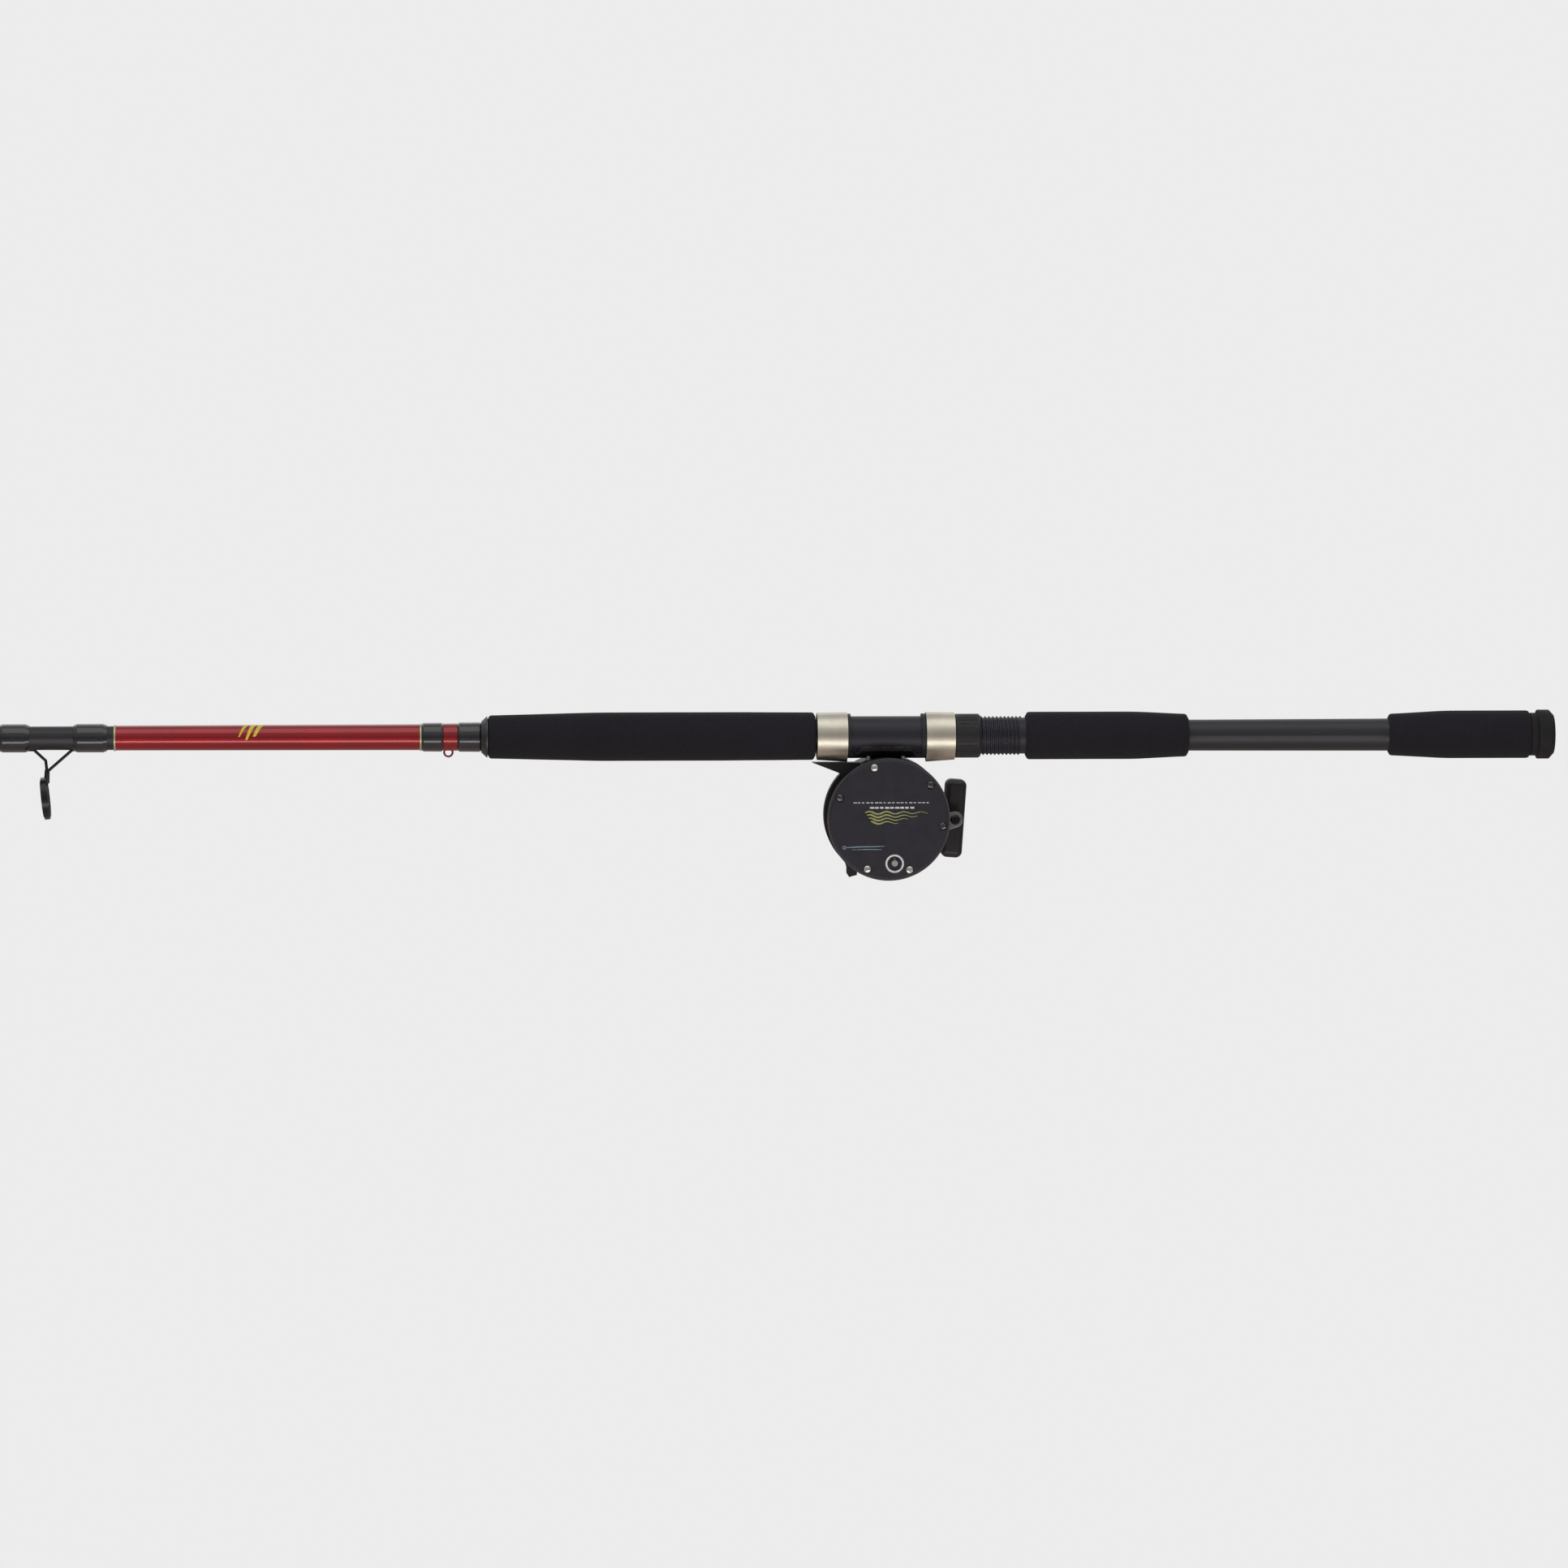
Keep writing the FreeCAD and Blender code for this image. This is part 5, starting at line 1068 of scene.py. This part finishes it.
class REEL_OT_handle(bpy.types.Operator):
    """Star drag, handle arm, knob and free-spool lever"""

    bl_idname = "reel.handle"
    bl_label = "Handle"

    def execute(self, context):
        dress("star_drag", "handle_arm", "handle_nut", "knob_rivet", "handle_knob", "freespool_lever")
        return {"FINISHED"}


# Places and sizes of the print, in millimetres from the plate's centre.
# A broken line: its left and right ends, its height, its thickness, its dashes and the share left open.
BROKEN_LINES = ((-23.0, 26.5, 11.0, 0.55, 18, 0.35), (-12.5, 16.5, 7.8, 1.15, 9, 0.22))
# A ring: its centre, its radius and its width.
CLICK_RING = (Vector((3.4, -28.0)), 5.3, 1.2)
THIN_RING = (Vector((-28.8, -17.7)), 0.9, 0.6)
# A stroke: its points, and its width at each.
THIN_LINES = (
    ([(-27.5, -17.6), (-20, -17.2), (-8, -17.0), (-3, -16.8)], [0.5, 0.7, 0.6, 0.3]),
    ([(-24.0, -19.0), (-14, -18.8), (-5, -18.9)], [0.2, 0.5, 0.3]),
)
RING_STEPS = 48
WAVE_LINES = 4
WAVE_STEPS = 32
WAVE_LENGTH = 11
WAVE_SWELL = 0.9


class REEL_OT_print(bpy.types.Operator):
    """Plain lines, a wave mark and the click ring printed on the side plate"""

    bl_idname = "reel.print"
    bl_label = "Plate Print"

    def execute(self, context):
        reel = context.scene.reel_settings
        low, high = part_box("left_plate")
        self.centre = Vector(((low.x + high.x) / 2, low.y, (low.z + high.z) / 2))
        self.depth = reel.ink_depth
        white = bmesh.new()
        for line in BROKEN_LINES:
            self.dashes(white, *line)
        self.ring(white, *CLICK_RING)
        self.settle_print("white_print", white, "White ink", reel.ink)
        leaf = bmesh.new()
        for points, widths in self.wave_strokes():
            self.stroke(leaf, points, widths)
        self.settle_print("wave_print", leaf, "Green ink", reel.leaf_ink)
        sky = bmesh.new()
        for points, widths in THIN_LINES:
            self.stroke(sky, points, widths)
        self.ring(sky, *THIN_RING)
        self.settle_print("blue_print", sky, "Blue ink", reel.sky_ink)
        return {"FINISHED"}

    def settle_print(self, name, bm, label, colour):
        """One ink's marks as a piece."""
        settle(name, bm, ink_finish(label, colour), body="rod")

    def spot(self, across, up, lift):
        """A point on the plate, millimetres from its centre."""
        return self.centre + Vector((across * MM, -lift, up * MM))

    def dashes(self, bm, left, right, up, tall, count, gap):
        """A broken straight line that stands in for a row of small print."""
        pitch = (right - left) / count
        for index in range(count):
            start = left + pitch * index
            end = start + pitch * (1 - gap * (0.6 + 0.8 * ((index * 7) % 5) / 4))
            self.stroke(bm, [(start, up), (end, up)], [tall, tall])

    def stroke(self, bm, points, widths):
        """A raised stroke along points, as wide as widths say at each."""
        left, right = [], []
        for index, (point, width) in enumerate(zip(points, widths)):
            before, after = points[max(index - 1, 0)], points[min(index + 1, len(points) - 1)]
            heading = Vector((after[0] - before[0], after[1] - before[1])).normalized()
            aside = Vector((-heading.y, heading.x)) * max(width, 0.05) / 2
            left.append(Vector(point) + aside)
            right.append(Vector(point) - aside)
        self.prism(bm, left + right[::-1], len(points))

    def prism(self, bm, outline, half):
        """A closed thin prism of a strip whose outline goes out along one side and back along the other."""
        under = [bm.verts.new(self.spot(p.x, p.y, 0)) for p in outline]
        over = [bm.verts.new(self.spot(p.x, p.y, self.depth)) for p in outline]
        total = len(outline)
        for index in range(half - 1):
            far = total - 1 - index
            for ring in (under, over):
                bm.faces.new((ring[index], ring[index + 1], ring[far - 1], ring[far]))
        for index in range(total):
            follow = (index + 1) % total
            bm.faces.new((under[index], under[follow], over[follow], over[index]))

    def ring(self, bm, centre, radius, width):
        """A raised ring round a point."""
        loops = []
        for index in range(RING_STEPS):
            angle = math.tau * index / RING_STEPS
            loop = []
            for reach in (radius - width / 2, radius + width / 2):
                for lift in (0, self.depth):
                    point = centre + Vector((math.cos(angle), math.sin(angle))) * reach
                    loop.append(bm.verts.new(self.spot(point.x, point.y, lift)))
            loops.append(loop)
        for this, that in zip(loops, loops[1:] + loops[:1]):
            for first, second in ((0, 1), (1, 3), (3, 2), (2, 0)):
                bm.faces.new((this[first], this[second], that[second], that[first]))

    def wave_strokes(self):
        """Plain wavy lines, thick at one end and thin at the other, each shorter than the one above."""
        strokes = []
        for line in range(WAVE_LINES):
            reach = 40 - 7.5 * line
            points, widths = [], []
            for step in range(WAVE_STEPS + 1):
                share = step / WAVE_STEPS
                swell = WAVE_SWELL * math.sin(math.tau * reach / WAVE_LENGTH * share + 0.6 * line)
                across = -15.5 + 1.2 * line + reach * share
                points.append((across, 4.6 - 2.1 * line + swell * (1 - 0.4 * share)))
                widths.append(0.25 + 1.05 * (1 - share) * min(1, 6 * share + 0.3))
            strokes.append((points, widths))
        return strokes


# ------------------------------------------------------------------ stage
# Soft boxes: name, place and size in metres, power in watts.
LIGHTS = (
    ("Low strip", (-0.5, -1.6, -1.05), (3.4, 0.5), 20),
    ("Overhead", (-0.5, -0.9, 2.4), (3.6, 2.0), 22),
    ("Back", (-0.5, 2.0, 1.2), (3.2, 1.2), 9),
)
FLOOR_RADIUS = 80
FLOOR_TINT = (0.62, 0.52, 0.48, 1)


class STAGE_OT_build(bpy.types.Operator):
    """Pale floor, soft lights and the camera"""

    bl_idname = "stage.build"
    bl_label = "Stage"

    def execute(self, context):
        stage = context.scene.stage_settings
        self.make_floor(stage)
        self.make_air(context, stage)
        for light in LIGHTS:
            self.make_light(*light)
        self.make_camera(context, stage)
        context.scene.view_settings.view_transform = "Standard"
        return {"FINISHED"}

    def make_floor(self, stage):
        """A floor well below the rod, lit evenly so that no edge of it shows."""
        bm = bmesh.new()
        bmesh.ops.create_circle(bm, cap_ends=True, segments=64, radius=FLOOR_RADIUS)
        floor = add("floor", mesh_of("floor", bm))
        floor.location.z = -stage.floor_drop
        material = bpy.data.materials.new("Floor")
        tree = self.cleared(material)
        path = put(tree, "ShaderNodeLightPath")
        side = put(tree, "ShaderNodeNewGeometry")
        even = put(tree, "ShaderNodeEmission", None, Color=(*stage.backdrop, 1), Strength=1.0)
        matt = put(tree, "ShaderNodeBsdfDiffuse", None, Color=FLOOR_TINT)
        clear = put(tree, "ShaderNodeBsdfTransparent")
        seen = self.either(tree, path.outputs["Is Camera Ray"], matt, even)
        both = self.either(tree, side.outputs["Backfacing"], seen, clear)
        put(tree, "ShaderNodeOutputMaterial", None, Surface=both.outputs[0])
        floor.data.materials.append(material)

    def cleared(self, owner):
        """The node tree of a material or a world, emptied."""
        owner.use_nodes = True
        owner.node_tree.nodes.clear()
        return owner.node_tree

    def either(self, tree, which, first, second):
        """One shader or the other, by a mask."""
        return put(tree, "ShaderNodeMixShader", None, i0=which, i1=first.outputs[0], i2=second.outputs[0])

    def make_air(self, context, stage):
        """The backdrop's colour where the camera looks, and a softer light for the object."""
        world = bpy.data.worlds.new("Air")
        tree = self.cleared(world)
        path = put(tree, "ShaderNodeLightPath")
        facing = put(tree, "ShaderNodeTexCoord")
        up = put(tree, "ShaderNodeSeparateXYZ", None, i0=facing.outputs["Generated"]).outputs[2]
        level = calc(tree, "ABSOLUTE", calc(tree, "SUBTRACT", up, 0.03))
        bright = span(tree, level, 0.0, 0.45, stage.fill * 0.35, stage.fill * 1.2)
        lit = put(tree, "ShaderNodeBackground", None, Color=(1.0, 1.0, 1.0, 1), Strength=bright)
        even = put(tree, "ShaderNodeBackground", None, Color=(*stage.backdrop, 1), Strength=1.0)
        mix = self.either(tree, path.outputs["Is Camera Ray"], lit, even)
        put(tree, "ShaderNodeOutputWorld", None, Surface=mix.outputs[0])
        context.scene.world = world

    def make_light(self, name, place, size, power):
        """A soft box that faces the rod."""
        data = bpy.data.lights.new(name, "AREA")
        data.shape = "RECTANGLE"
        data.size, data.size_y = size
        data.energy = power
        light = add(name, data)
        light.location = place
        aim = Vector((place[0], 0, 0)) - Vector(place)
        light.rotation_euler = aim.to_track_quat("-Z", "Y").to_euler()
        light.visible_camera = False

    def make_camera(self, context, stage):
        """The camera, level with the lie of the rod."""
        data = bpy.data.cameras.new("Camera")
        data.sensor_width = 36
        data.lens = stage.lens
        data.clip_end = 200
        camera = add("Camera", data)
        turn, rise = stage.azimuth, stage.elevation
        back = Vector((math.sin(turn) * math.cos(rise), -math.cos(turn) * math.cos(rise), math.sin(rise)))
        camera.location = Vector(stage.sight) + back * stage.distance
        camera.rotation_euler = (-back).to_track_quat("-Z", "Y").to_euler()
        context.scene.camera = camera


STEPS = (
    STAGE_OT_build,
    ROD_OT_butt_cap,
    ROD_OT_grips,
    ROD_OT_blanks,
    ROD_OT_wraps,
    ROD_OT_sleeve,
    ROD_OT_seat,
    ROD_OT_guides,
    REEL_OT_side_plate,
    REEL_OT_screws,
    REEL_OT_frame,
    REEL_OT_spool,
    REEL_OT_works,
    REEL_OT_handle,
    REEL_OT_print,
)


class VIEW3D_PT_rod_and_reel(bpy.types.Panel):
    """Every step of the rod and reel"""

    bl_label = "Rod and Reel"
    bl_space_type = "VIEW_3D"
    bl_region_type = "UI"
    bl_category = "Rod and Reel"

    def draw(self, context):
        for group in SETTINGS:
            settings = getattr(context.scene, group)
            box = self.layout.box()
            for name in settings.__annotations__:
                box.prop(settings, name)
        for step in STEPS:
            self.layout.operator(step.bl_idname)


SETTINGS = {"rod_settings": RodSettings, "reel_settings": ReelSettings, "stage_settings": StageSettings}
CLASSES = (*SETTINGS.values(), *STEPS, VIEW3D_PT_rod_and_reel)


def register():
    for made in CLASSES:
        bpy.utils.register_class(made)
    for group, kind in SETTINGS.items():
        setattr(bpy.types.Scene, group, PointerProperty(type=kind))


def unregister():
    for group in reversed(SETTINGS):
        delattr(bpy.types.Scene, group)
    for made in reversed(CLASSES):
        bpy.utils.unregister_class(made)


def main():
    register()
    for step in STEPS:
        group, name = step.bl_idname.split(".")
        getattr(getattr(bpy.ops, group), name)()


if __name__ == "__main__":
    main()
